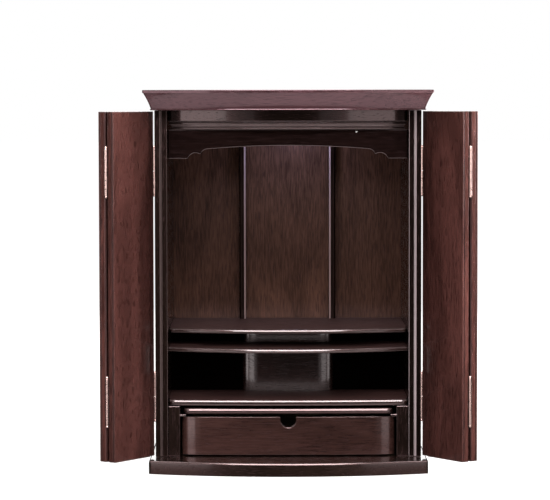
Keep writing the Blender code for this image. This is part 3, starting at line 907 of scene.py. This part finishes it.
@dataclass
class Carcass:
    """The base board, the side panels and the back."""

    body: str = "cabinet"
    base_bow: float = 0.030
    base_corner: float = 0.005
    base_rounding: float = 0.0030
    base_foot_rounding: float = 0.0005
    panel_easing: float = 0.0011
    back_reach: float = 0.00028

    def build(self) -> None:
        """Models and dresses the pieces."""
        self.make_base()
        for side in Side:
            self.make_side(side)
        self.make_back()

    def make_base(self) -> None:
        """The bowed base board with a rounded upper edge and an eased foot."""
        low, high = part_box("base")
        plan = bench.bowed_board("base_board", "base", self.base_bow, self.base_corner)
        bench.round_edges(in_front(plan.back, high.z), self.base_rounding, 5)
        bench.round_edges(in_front(plan.back, low.z), self.base_foot_rounding, 3)
        wood = replace(CARCASS_FINISH, painted_highlight_share=0.3)
        lacquer(wood, Lay(Grain.ACROSS, 3.0), self.body, "base")

    def make_side(self, side: Side) -> None:
        """A side panel with the rebate for the closed door.

        Args:
            side: The side on which it stands.
        """
        node = f"side_panel_{side.name.lower()}"
        bench.eased_copy(node, self.panel_easing, 3)
        # The right panel is stained darker, as painted shade, and gets a bright painted highlight on
        # its rebate; the left one gets a dim painted highlight.
        wood = {
            Side.LEFT: replace(CARCASS_FINISH, sheen=0.3, coat=0.3, rim=(0.10, 0.070, 0.066)),
            Side.RIGHT: replace(
                CARCASS_FINISH.toned(0.4), sheen=0.2, coat=0.2, rim=(0.55, 0.44, 0.45)
            ),
        }
        lay = Lay(Grain.UPRIGHT, side.value * 1.7, way=-side.value)
        lacquer(wood[side], lay, self.body, node)

    def make_back(self) -> None:
        """The back panel."""
        bench.copy_of("back_board", "back_panel")
        low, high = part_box("back_panel")
        widen = 1 + 2 * self.back_reach / (high.x - low.x)
        bpy.ops.mesh.select_all(action="SELECT")
        bpy.ops.transform.resize(value=(widen, 1.0, 1.0), center_override=(0.0, 0.0, 0.0))
        lacquer(BACK_FINISH, Lay(Grain.UPRIGHT, 0.4), self.body, "back_panel")


@dataclass
class Cornice:
    """The top board with its coved edge."""

    body: str = "cabinet"
    bow: float = 0.030
    foot_corner: float = 0.003
    projection: float = 0.0115
    top_lip: float = 0.0042
    foot_bead: float = 0.0022
    hollow: float = 0.35
    cove_steps: int = 14

    def section(self) -> list[Point]:
        """The cornice's section: a small bead, the cove and a lip with a rounded corner.

        Returns:
            (height above the foot, projection) points from the foot to the top.
        """
        low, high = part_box("cornice")
        height = high.z - low.z
        cove_top = height - self.top_lip
        reach = self.projection - self.foot_bead / 2
        bead = [
            (self.foot_bead / 2 - y, x)
            for x, y in ellipse((0.0, 0.0), (self.foot_bead / 2, self.foot_bead / 2), 90, -90, 6)
        ]
        points = bead[:-1] + [(self.foot_bead, 0.0)]
        for i in range(1, self.cove_steps + 1):
            share = i / self.cove_steps
            rise = self.foot_bead + (cove_top - self.foot_bead) * share
            points.append((rise, reach * share * (1 - self.hollow * (1 - share))))
        rounding = self.foot_bead / 3
        corner = (height - rounding, self.projection - rounding)
        points.append((cove_top, self.projection))
        points += [
            (corner[0] + y, corner[1] + x)
            for x, y in ellipse((0.0, 0.0), (rounding, rounding), 0, 90, 4)
        ]
        return points

    def build(self) -> None:
        """Raises the cornice step by step from its foot, widening it as it goes."""
        low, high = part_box("cornice")
        foot = BowedPlan(
            high.x - self.projection,
            low.y + self.projection,
            high.y,
            self.bow,
            self.foot_corner,
            self.foot_corner,
        )
        bench.draw_bowed("cornice_board", foot, low.z)
        bench.raise_section(foot, self.section())
        lacquer(CORNICE_FINISH_AND_PAINTED_SHEEN, Lay(Grain.ACROSS, 5.1), self.body, "cornice", SHARP_MOULDING)


@dataclass
class Head:
    """The bowed fascia and beads, the scalloped valance behind them and the button."""

    body: str = "cabinet"
    bow: float = 0.026
    corner: float = 0.008
    fascia_rounding: float = 0.0012
    bead_projection: float = 0.0025
    upper_bead_recess: float = 0.0010
    lower_bead_recess: float = 0.0035
    upper_bead_share: float = 0.42
    lower_bead_share: float = 0.34
    bead_steps: int = 10
    flat_length: float = 0.0281
    small_lobe: float = 0.0120
    small_lobe_start: float = 18.0
    large_lobe: float = 0.0116
    lobe_step: Point = (0.0178, 0.0059)
    arch_rise: float = 0.0049
    edge_rounding: float = 0.0016
    button_dome: float = 0.7

    def build(self) -> None:
        """Models and dresses the pieces."""
        self.make_fascia()
        self.make_beads()
        self.make_valance()
        self.make_button()

    def make_fascia(self) -> None:
        """The bowed board under the cornice, its lower edge rounded."""
        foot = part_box("fascia")[0].z
        plan = bench.bowed_board("fascia_board", "fascia", self.bow, self.corner)
        bench.round_edges(in_front(plan.back, foot), self.fascia_rounding, 4)
        lacquer(CARCASS_FINISH, Lay(Grain.ACROSS, 1.2), self.body, "fascia")

    def make_beads(self) -> None:
        """Two half-round beads above one another, each set in further than the board above it."""
        low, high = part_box("bead_moulding")
        height = high.z - low.z
        deepest = self.lower_bead_recess + self.bead_projection
        section = []
        for bottom, top, recess in (
            (0.0, height * self.lower_bead_share, self.lower_bead_recess),
            (height * (1 - self.upper_bead_share), height, self.upper_bead_recess),
        ):
            centre = ((top + bottom) / 2, deepest - recess - self.bead_projection)
            radii = ((top - bottom) / 2, self.bead_projection)
            section += ellipse(centre, radii, 180.0, 0.0, self.bead_steps)
        fascia_low, fascia_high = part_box("fascia")
        narrowest = self.corner - deepest
        foot = BowedPlan(
            fascia_high.x - deepest,
            fascia_low.y + deepest,
            fascia_high.y,
            self.bow,
            narrowest,
            narrowest,
        )
        bench.draw_bowed("bead_board", foot, low.z)
        bench.raise_section(foot, section)
        wood = CARCASS_FINISH.toned(1.6)
        lacquer(wood, Lay(Grain.ACROSS, 2.3), self.body, "bead_moulding", SHARP_MOULDING)

    def make_valance(self) -> None:
        """The board with two lobes at each end and a shallow arch between them."""
        low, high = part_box("valance")
        start = math.radians(self.small_lobe_start)
        small = (
            high.x - self.flat_length - self.small_lobe * math.cos(start),
            low.z - self.small_lobe * math.sin(start),
        )
        large = (small[0] - self.lobe_step[0], small[1] + self.lobe_step[1])
        cusp = self.crossing(small, large)
        spring = large[1] + self.large_lobe
        radius = (large[0] ** 2 + self.arch_rise**2) / (2 * self.arch_rise)
        angles = [
            math.degrees(math.atan2(cusp[1] - centre[1], cusp[0] - centre[0]))
            for centre in (small, large)
        ]
        bench.begin("valance_board", Sheet.ELEVATION, -low.y, (0.0, spring + self.arch_rise))
        centre = (0.0, spring + self.arch_rise - radius)
        bench.sweep(centre, -math.degrees(math.asin(large[0] / radius)), BOW_STEPS)
        bench.sweep(large, angles[1] - 90.0, CORNER_STEPS)
        bench.sweep(small, self.small_lobe_start - angles[0], CORNER_STEPS)
        bench.follow([(high.x, low.z), (high.x, high.z), (0.0, high.z)])
        bench.close(mirrored=True)
        bench.extrude((0.0, high.y - low.y, 0.0))
        bench.ease(self.edge_rounding, 4, 50.0)
        # A painted highlight along its rounded lower edge.
        wood = replace(FRONT_FINISH.toned(0.6), sheen=0.1, coat=0.12, painted_highlight_share=1.0)
        lacquer(wood, Lay(Grain.ACROSS, 4.2), self.body, "valance")

    def crossing(self, small: Point, large: Point) -> Point:
        """Where the two lobes meet.

        Args:
            small: The centre of the small lobe.
            large: The centre of the large lobe.

        Returns:
            The upper point where their circles cross.
        """
        dx, dz = large[0] - small[0], large[1] - small[1]
        distance = math.hypot(dx, dz)
        along = (distance**2 + self.small_lobe**2 - self.large_lobe**2) / (2 * distance)
        across = math.sqrt(self.small_lobe**2 - along**2)
        middle = (small[0] + along * dx / distance, small[1] + along * dz / distance)
        return (middle[0] + across * dz / distance, middle[1] - across * dx / distance)

    def make_button(self) -> None:
        """The small turned button, spun from half its section."""
        low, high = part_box("lamp_button")
        centre = (low + high) / 2
        radius = (high.x - low.x) / 2
        bench.begin("round_button", Sheet.PLAN, centre.z, (centre.x, high.y))
        bench.follow([(centre.x + radius, high.y)])
        dome = radius * self.button_dome
        bench.follow(ellipse((centre.x, low.y + dome), (radius, dome), 0.0, -90.0, 8))
        bench.turn_round(24, (centre.x, 0.0, centre.z), (0.0, 1.0, 0.0))
        dress(bench.finish(), BUTTON_FINISH.material(), Slot.BUTTON, self.body, "lamp_button")


@dataclass
class Shelving:
    """The battens, the three shelves, and the risers and pedestals between them."""

    body: str = "cabinet"
    edge_rounding: float = 0.0036
    batten_rounding: float = 0.0035
    riser_easing: float = 0.0004
    pedestal_rounding: Point = (0.026, 0.0125)
    shelves: dict[str, Point] = field(
        default_factory=lambda: {
            "lower_shelf": (0.0065, 0.009),
            "middle_shelf": (0.036, 0.0),
            "top_shelf": (0.0226, 0.008),
        }
    )

    def build(self) -> None:
        """Models and dresses the pieces."""
        for count, (node, (bow, corner)) in enumerate(self.shelves.items()):
            self.make_shelf(node, bow, corner, 6.0 + count)
        for side in Side:
            self.make_batten(side)
        for tier in ("lower", "upper"):
            self.make_riser(tier)
            self.make_pedestal(tier)

    def make_shelf(self, node: str, bow: float, corner: float, shift: float) -> None:
        """A bowed shelf with its front edges rounded.

        Args:
            node: Its CAD node.
            bow: How far the front's middle stands before its ends.
            corner: The radius of its front corners.
            shift: How far the grain's pattern is moved.
        """
        plan = bench.bowed_board(node + "_board", node, bow, corner)
        level_front = in_front(plan.back)
        sides = plan.half_width - NEAR

        def front_edge(edge: Any) -> bool:
            """Whether an edge runs along the front or round a corner."""
            first, second = (vertex.co.x for vertex in edge.verts)
            along_side = min(abs(first), abs(second)) > sides and first * second > 0
            return level_front(edge) and not along_side

        bench.round_edges(front_edge, self.edge_rounding, 4)
        lacquer(SHELF_FINISH, Lay(Grain.ACROSS, shift), self.body, node)

    def make_batten(self, side: Side) -> None:
        """An upright batten with rounded front corners.

        Args:
            side: The side on which it stands.
        """
        node = f"batten_{side.name.lower()}"
        low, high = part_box(node)
        bench.block(node + "_strip", low, high)

        def front_corner(edge: Any) -> bool:
            """Whether an edge runs straight up at the front."""
            first, second = (vertex.co for vertex in edge.verts)
            return (first.xy - second.xy).length < NEAR and first.y < low.y + NEAR

        bench.round_edges(front_corner, self.batten_rounding, 6)
        # A painted highlight on the upright front edge that faces the middle.
        wood = replace(
            BACK_FINISH.toned(0.12), sheen=0.1, coat=0.1, rim=(0.50, 0.34, 0.32), painted_highlight_share=0.8
        )
        lay = Lay(Grain.UPRIGHT, 8.0 + side.value, way=-side.value)
        lacquer(wood, lay, self.body, node)

    def make_riser(self, tier: str) -> None:
        """The dark board that closes the space beside a pedestal."""
        node = tier + "_riser"
        bench.eased_copy(node, self.riser_easing)
        lacquer(SHADOW_FINISH, Lay(Grain.ACROSS), self.body, node)

    def make_pedestal(self, tier: str) -> None:
        """A pedestal with broad rounded ends.

        Args:
            tier: "lower" or "upper".
        """
        node = tier + "_pedestal"
        low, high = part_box(node)
        width, depth = self.pedestal_rounding
        bench.begin(node + "_block", Sheet.PLAN, low.z, (0.0, low.y))
        centre = (high.x - width, low.y + depth)
        bench.follow(ellipse(centre, (width, depth), -90.0, 0.0, 14))
        bench.follow([(high.x, high.y), (0.0, high.y)])
        bench.close(mirrored=True)
        bench.extrude((0.0, 0.0, high.z - low.z))
        lacquer(PEDESTAL_FINISH, Lay(Grain.ACROSS, 9.3), self.body, node)


@dataclass
class DrawerSpace:
    """The cheeks, the slide-out board and the drawer."""

    body: str = "cabinet"
    cheek_easing: float = 0.0009
    box_easing: float = 0.0005
    board_bow: float = 0.0020
    board_corner: float = 0.009
    board_rounding: float = 0.0041
    front_bow: float = 0.0025
    front_rounding: Point = (0.030, 0.0125)
    front_easing: float = 0.0003
    notch_width: float = 0.0234
    notch_depth: float = 0.0154
    notch_easing: float = 0.0008

    def build(self) -> None:
        """Models and dresses the pieces."""
        for side in Side:
            self.make_cheek(side)
        self.make_slide_board()
        self.make_front()
        self.make_box()

    def make_cheek(self, side: Side) -> None:
        """The board beside the drawer with the ledge for the slide-out board."""
        node = f"drawer_cheek_{side.name.lower()}"
        bench.eased_copy(node, self.cheek_easing, 3)
        lacquer(CARCASS_FINISH, Lay(Grain.UPRIGHT, 10.0 + side.value), self.body, node)

    def make_slide_board(self) -> None:
        """The thin board over the drawer, rounded along its front."""
        corner = self.board_corner
        plan = bench.bowed_board("slide_out_board", "slide_board", self.board_bow, corner)
        bench.round_edges(in_front(plan.back), self.board_rounding, 4)
        wood = replace(FRONT_FINISH, painted_highlight_share=0.2)
        lacquer(wood, Lay(Grain.ACROSS, 11.0), "board", "slide_board")

    def make_front(self) -> None:
        """The drawer front with rounded ends, eased edges and a finger notch."""
        low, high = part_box("drawer_front")
        bench.bowed_board("drawer_face", "drawer_front", self.front_bow, *self.front_rounding)
        face = bench.finish()
        radius = self.notch_width / 2
        centre = (0.0, high.z - self.notch_depth + radius)
        clear = self.front_rounding[1]
        bench.begin("notch_tool", Sheet.ELEVATION, clear - low.y, (-radius, high.z + clear))
        bench.follow([(-radius, centre[1])])
        bench.sweep(centre, 180.0, 2 * CORNER_STEPS)
        bench.follow([(radius, high.z + clear)])
        bench.close()
        bench.extrude((0.0, high.y - low.y + 2 * clear, 0.0))
        tool = bench.finish()
        bench.take(face)
        bench.cut(tool)

        def notch_edge(edge: Any) -> bool:
            """Whether an edge runs round the front of the notch."""
            places = [vertex.co for vertex in edge.verts]
            return all(
                place.y < low.y + self.front_bow and (place.xz - Vector(centre)).length < radius + NEAR
                for place in places
            )

        bench.round_edges(notch_edge, self.notch_easing, 3)
        bench.ease(self.front_easing, 3, 40.0)
        # A painted highlight along its rounded edges and round the notch.
        wood = replace(FRONT_FINISH.toned(2.3), painted_highlight_share=0.8)
        lacquer(wood, Lay(Grain.ACROSS, 12.4), "drawer", "drawer_front")

    def make_box(self) -> None:
        """The four plain boards behind the drawer front."""
        grains = {
            "drawer_side_left": Grain.DEEP,
            "drawer_side_right": Grain.DEEP,
            "drawer_back": Grain.ACROSS,
            "drawer_bottom": Grain.DEEP,
        }
        for count, (node, grain) in enumerate(grains.items()):
            bench.eased_copy(node, self.box_easing)
            lacquer(DRAWER_FINISH, Lay(grain, 13.0 + count), "drawer", node)


class Plate(Enum):
    """How a hinge plate lies: its distance from the pin's plane and the way that it runs."""

    FRAME_SIDE = (0.0001, 1)
    LEAF_SIDE = (0.00185, -1)
    FOLD_FACE = (0.0007, 1)

    @property
    def on_face(self) -> bool:
        """Whether it lies on a board's face and not on its side."""
        return self is Plate.FOLD_FACE


@dataclass
class Hinge:
    """The hinges on one pin line: turned barrels in two halves, each with its plate.

    dome is the dome's height as a share of the barrel's radius. neck is (radius, distance below
    the tip) points as shares of that radius and of the dome's height, and foot is (radius,
    height) points as shares of that radius. screw_section is (share of the screw's radius,
    depth) points, and screw_heights are shares of the half's height.
    """

    pin: Vector
    barrel_radius: float = 0.0022
    dome: float = 0.8
    neck: tuple[Point, ...] = ((1.0, 2.1), (0.86, 1.9), (0.86, 1.6), (1.0, 1.4), (1.0, 1.0))
    foot: tuple[Point, ...] = ((0.9, 0.0), (1.0, 0.1))
    plate_thickness: float = 0.0008
    plate_reach: float = 0.0070
    plate_height: float = 0.033
    plate_easing: float = 0.00018
    length: float = 0.0362
    screw_radius: float = 0.0009
    screw_gap: float = 0.0001
    screw_section: tuple[Point, ...] = (
        (0.0, 0.0010),
        (1.0, 0.0010),
        (1.0, 0.0002),
        (0.7, 0.0),
        (0.3, 0.0003),
        (0.0, 0.0003),
    )
    screw_heights: Point = (0.36, 0.70)

    def half(self, plate: Plate) -> bpy.types.Object:
        """Half a hinge, standing on the pin line at the origin, with its domed end up.

        Args:
            plate: Where its plate lies.

        Returns:
            The half, ready to be copied.
        """
        radius = self.barrel_radius
        dome = radius * self.dome
        bench.begin("hinge_half", Sheet.ELEVATION, 0.0, (0.0, 0.0))
        bench.follow((radius * across, radius * up) for across, up in self.foot)
        bench.follow((radius * across, self.length - dome * down) for across, down in self.neck)
        bench.follow(ellipse((0.0, self.length - dome), (radius, dome), 0.0, 90.0, 7))
        bench.turn_round(28, (0.0, 0.0, 0.0), (0.0, 0.0, 1.0))
        barrel = bench.finish(SHARP_MOULDING)
        offset, way = plate.value
        near, far = sorted((0.0, way * self.plate_reach))
        sides = (offset - self.plate_thickness / 2, offset + self.plate_thickness / 2)
        first, second = zip((near, far), sides) if plate.on_face else zip(sides, (near, far))
        middle = self.length / 2
        low = Vector((*first, middle - self.plate_height / 2))
        high = Vector((*second, middle + self.plate_height / 2))
        bench.block("hinge_plate", low, high)
        bench.ease(self.plate_easing)
        return bench.join([barrel, bench.finish()])

    def place(self, master: bpy.types.Object, node: str, way: int, turn: float) -> bpy.types.Object:
        """A copy of the half where a CAD half stands.

        Args:
            master: The half at the origin.
            node: The CAD node that it stands for.
            way: 1 if its plate runs along +X before it is turned, and -1 if along -X.
            turn: Its turn about the pin, in degrees.

        Returns:
            The placed half.
        """
        low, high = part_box(node)
        # Frame and inner halves point up on the upper hinges and down on the lower ones.
        parent_half = node.endswith(("frame_half", "inner_half"))
        upwards = 1 if ("upper" in node) == parent_half else -1
        foot = low.z if upwards > 0 else high.z
        bench.take(set_out(node + "_turned", master.data.copy()))
        bpy.ops.transform.resize(value=(way, 1.0, upwards), center_override=(0.0, 0.0, 0.0))
        bpy.ops.transform.rotate(
            value=-math.radians(turn), orient_axis="Z", center_override=(0.0, 0.0, 0.0)
        )
        bpy.ops.transform.translate(value=(self.pin.x, self.pin.y, foot))
        return bench.finish(SHARP_MOULDING)

    def screws(self, name: str, node: str) -> bpy.types.Object:
        """Two small dark screws in the barrel of a half, on the side that faces forward.

        Args:
            name: What the pair is called.
            node: The CAD half that they sit in.

        Returns:
            The two screws as one piece.
        """
        low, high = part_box(node)
        front = self.pin.y - self.barrel_radius - self.screw_gap
        section = [
            (self.pin.x + self.screw_radius * across, front + depth)
            for across, depth in self.screw_section
        ]
        made = []
        for share in self.screw_heights:
            height = low.z + (high.z - low.z) * share
            bench.begin("hinge_screw", Sheet.PLAN, height, section[0])
            bench.follow(section[1:])
            bench.turn_round(16, (self.pin.x, 0.0, height), (0.0, 1.0, 0.0))
            made.append(bench.finish())
        joined = bench.join(made)
        joined.name = name
        return joined


@dataclass
class Door:
    """A pair of folding leaves with their hinges."""

    side: Side
    open_angle: float = 126.0
    leaf_easing: float = 0.0006

    def build(self) -> None:
        """Models and dresses the pieces."""
        label = self.side.name.lower()
        joints = {joint["name"]: joint for joint in frame["joints"]}
        swing = Vector(joints[f"{label}_door_swing"]["pos_m"])
        fold = Vector(joints[f"{label}_door_fold"]["pos_m"])
        bodies = {"inner": f"{label}_inner_door", "outer": f"{label}_outer_door"}
        for leaf, body in bodies.items():
            self.make_leaf(leaf, body)
        turn = self.side.value * self.open_angle
        way = -self.side.value
        cabinet_halves = {
            "frame_half": ("cabinet", way, 0.0, Plate.FRAME_SIDE),
            "leaf_half": (bodies["inner"], way, turn, Plate.LEAF_SIDE),
        }
        fold_halves = {
            "inner_half": (bodies["inner"], -way, turn, Plate.FOLD_FACE),
            "outer_half": (bodies["outer"], way, turn + 180.0, Plate.FOLD_FACE),
        }
        self.hang(Hinge(swing), f"hinge_{label}", cabinet_halves, "leaf_half")
        self.hang(Hinge(fold), f"fold_hinge_{label}", fold_halves, "outer_half")

    def make_leaf(self, leaf: str, body: str) -> None:
        """A leaf: the board with its raised inner panel, edges eased.

        Args:
            leaf: "inner" or "outer".
            body: The body that it rides on.
        """
        node = f"door_{self.side.name.lower()}_{leaf}_leaf"
        bench.eased_copy(node, self.leaf_easing)
        turn = self.side.value * self.open_angle
        shift = 15.0 + self.side.value + (0.5 if leaf == "outer" else 0.0)
        lacquer(DOOR_FINISH, Lay(Grain.UPRIGHT, shift, turn), body, node)

    def hang(
        self,
        hinge: Hinge,
        prefix: str,
        halves: dict[str, tuple[str, int, float, Plate]],
        screwed: str,
    ) -> None:
        """Places a pin line's hinges.

        Args:
            hinge: The hinge to copy.
            prefix: The start of the CAD nodes' names.
            halves: The body, the plate's way, the turn and the plate of each half.
            screwed: The half whose barrel shows two screws.
        """
        for half, (body, way, turn, plate) in halves.items():
            master = hinge.half(plate)
            for level in ("upper", "lower"):
                node = f"{prefix}_{level}_{half}"
                piece = hinge.place(master, node, way, turn)
                dress(piece, HINGE_FINISH.material(), Slot.HINGE, body, node)
                if half == screwed:
                    screws = hinge.screws(node + "_screws", node)
                    dress(screws, SCREW_FINISH.material(), Slot.HINGE, body)
            bpy.data.objects.remove(master)


class Use(Enum):
    """What a light is for: reflections, even lighting or both."""

    SHINE = "shine"
    FILL = "fill"
    BOTH = "both"


@dataclass(frozen=True)
class Softbox:
    """A soft studio light, aimed at a point. A brightness of 1 is the white of the picture."""

    name: str
    place: Place
    target: Place
    size: Point
    brightness: float
    use: Use = Use.BOTH
    colour: Colour = (1.0, 1.0, 1.0)

    def build(self) -> None:
        """Hangs the light."""
        data = bpy.data.lights.new(self.name, "AREA")
        data.shape = "RECTANGLE"
        data.size, data.size_y = self.size
        data.energy = self.brightness * math.pi * self.size[0] * self.size[1]
        data.color = self.colour
        light = set_out(self.name, data)
        light.location = self.place
        aim = Vector(self.target) - Vector(self.place)
        light.rotation_mode = "QUATERNION"
        light.rotation_quaternion = aim.to_track_quat("-Z", "Y")
        light.visible_camera = False
        light.visible_glossy = self.use is not Use.FILL
        light.visible_diffuse = self.use is not Use.SHINE
        log.info("light %s hung", self.name)


def pair(
    name: str, place: Place, target: Place, size: Point, brightness: Point, use: Use = Use.BOTH
) -> tuple[Softbox, Softbox]:
    """A light on the left and its mirror image on the right.

    Args:
        name: What both are called, after their side.
        place: Where the right one hangs.
        target: Where the right one aims.
        size: The width and the height of both.
        brightness: How bright the left and the right one are.
        use: What both are for.

    Returns:
        The left light and the right light.
    """
    left, right = (
        Softbox(
            f"{side.name.lower()}_{name}",
            (side.value * place[0], *place[1:]),
            (side.value * target[0], *target[1:]),
            size,
            level,
            use,
        )
        for side, level in zip(Side, brightness)
    )
    return left, right


@dataclass
class Studio:
    """The pale floor, the soft lights and the camera."""

    floor_size: float = 60.0
    floor_shade: Point = (0.3, 2.0)
    surroundings: Colour = (0.03, 0.03, 0.03)
    white: Colour = (1.0, 1.0, 1.0)
    camera_place: Place = (-0.01836, -3.71465, 0.52919)
    camera_tilt: float = 3.2753
    camera_roll: float = 0.0986
    camera_lens: float = 170.33
    lights: tuple[Softbox, ...] = (
        Softbox("front_top", (0.0, -1.45, 1.25), (0.0, 0.0, 0.3), (1.1, 1.0), 22.0, Use.SHINE),
        Softbox("overhead", (0.0, -0.55, 1.95), (0.0, 0.0, 0.3), (1.1, 1.3), 18.0, Use.SHINE),
        Softbox("front_fill", (0.0, -1.45, 1.25), (0.0, 0.0, 0.3), (1.1, 1.0), 5.5, Use.FILL),
        Softbox("top_fill", (0.0, -0.55, 1.95), (0.0, 0.0, 0.3), (1.1, 1.3), 8.0, Use.FILL),
        *pair("wall", (1.47, -2.02, 0.57), (0.0, 0.0, 0.35), (1.25, 1.74), (2.7, 2.0)),
        *pair("step", (0.75, -2.49, 0.57), (0.0, 0.0, 0.35), (0.45, 1.74), (0.4, 0.4)),
        *pair("rim", (1.80, -0.02, 0.75), (0.2, -0.02, 0.5), (0.35, 0.9), (2.0, 16.0)),
        *pair("fill", (1.75, -0.2, 0.4), (0.0, -0.1, 0.3), (0.24, 0.8), (95.0, 240.0), Use.FILL),
        Softbox("back_wall", (0.0, 2.6, 1.1), (0.0, 0.0, 0.3), (2.4, 1.6), 2.5),
        Softbox("light_table", (0.0, -0.9, -0.6), (0.0, -0.9, 1.0), (2.4, 1.0), 1.7),
        *pair(
            "glint", (0.158, 0.076, 0.15), (0.128, 0.171, 0.15), (0.06, 0.09), (3.0, 2.4), Use.SHINE
        ),
        Softbox(
            "inner_lamp",
            (0.012, 0.16, 0.485),
            (0.006, 0.236, 0.43),
            (0.06, 0.03),
            20.0,
            colour=(0.5, 0.6, 1.0),
        ),
    )

    def build(self) -> None:
        """Sets up the floor, the lights, the background and the camera."""
        self.make_floor()
        for light in self.lights:
            light.build()
        self.make_background()
        self.make_camera()

    def make_floor(self) -> None:
        """A wide pale floor."""
        bench.clear()
        bpy.ops.mesh.primitive_plane_add(size=self.floor_size)
        floor = bpy.context.object
        floor.name = "studio_floor"
        shader = Shader(bpy.data.materials.new("floor_paint"))
        place = shader.node("ShaderNodeTexCoord", output="Object")
        mottle = shader.noise(place, 3.0, 2.0)
        distance = shader.node("ShaderNodeVectorMath", {"operation": "LENGTH"}, {0: place}, 1)
        far = distance.band(*self.floor_shade)
        floor.data.materials.append(
            shader.surface(
                Base_Color=shader.tinted(mottle, (0.34, 0.34, 0.34), (0.36, 0.36, 0.355)),
                Roughness=0.8,
                Emission_Color=shader.tinted(far, (0.8, 0.8, 0.8), self.white),
                Emission_Strength=1.0,
            )
        )
        floor.visible_diffuse = False
        floor.visible_glossy = False
        floor.visible_shadow = False

    def make_background(self) -> None:
        """A white background over dim surroundings."""
        world = bpy.data.worlds.new("studio_background")
        bpy.context.scene.world = world
        shader = Shader(world)
        seen = shader.node("ShaderNodeLightPath", output="Is Camera Ray")
        colour = shader.tinted(seen, self.surroundings, self.white)
        background = shader.node("ShaderNodeBackground", None, {"Color": colour})
        shader.node("ShaderNodeOutputWorld", None, {"Surface": background})
        bpy.context.scene.view_settings.view_transform = "Standard"

    def make_camera(self) -> None:
        """The camera in front, at the cornice's height and looking slightly down."""
        data = bpy.data.cameras.new("front_camera")
        data.lens = self.camera_lens
        camera = set_out("front_camera", data)
        camera.location = self.camera_place
        camera.rotation_euler = (
            math.radians(90.0 - self.camera_tilt),
            math.radians(self.camera_roll),
            0.0,
        )
        bpy.context.scene.camera = camera


def main() -> None:
    """Builds the cabinet's parts in order, then the studio."""
    logging.basicConfig(level=logging.INFO, format="%(message)s")
    for part in (
        Carcass(),
        Cornice(),
        Head(),
        Shelving(),
        DrawerSpace(),
        Door(Side.LEFT),
        Door(Side.RIGHT),
        Studio(),
    ):
        part.build()
        log.info("%s built", type(part).__name__)


if __name__ == "__main__":
    main()
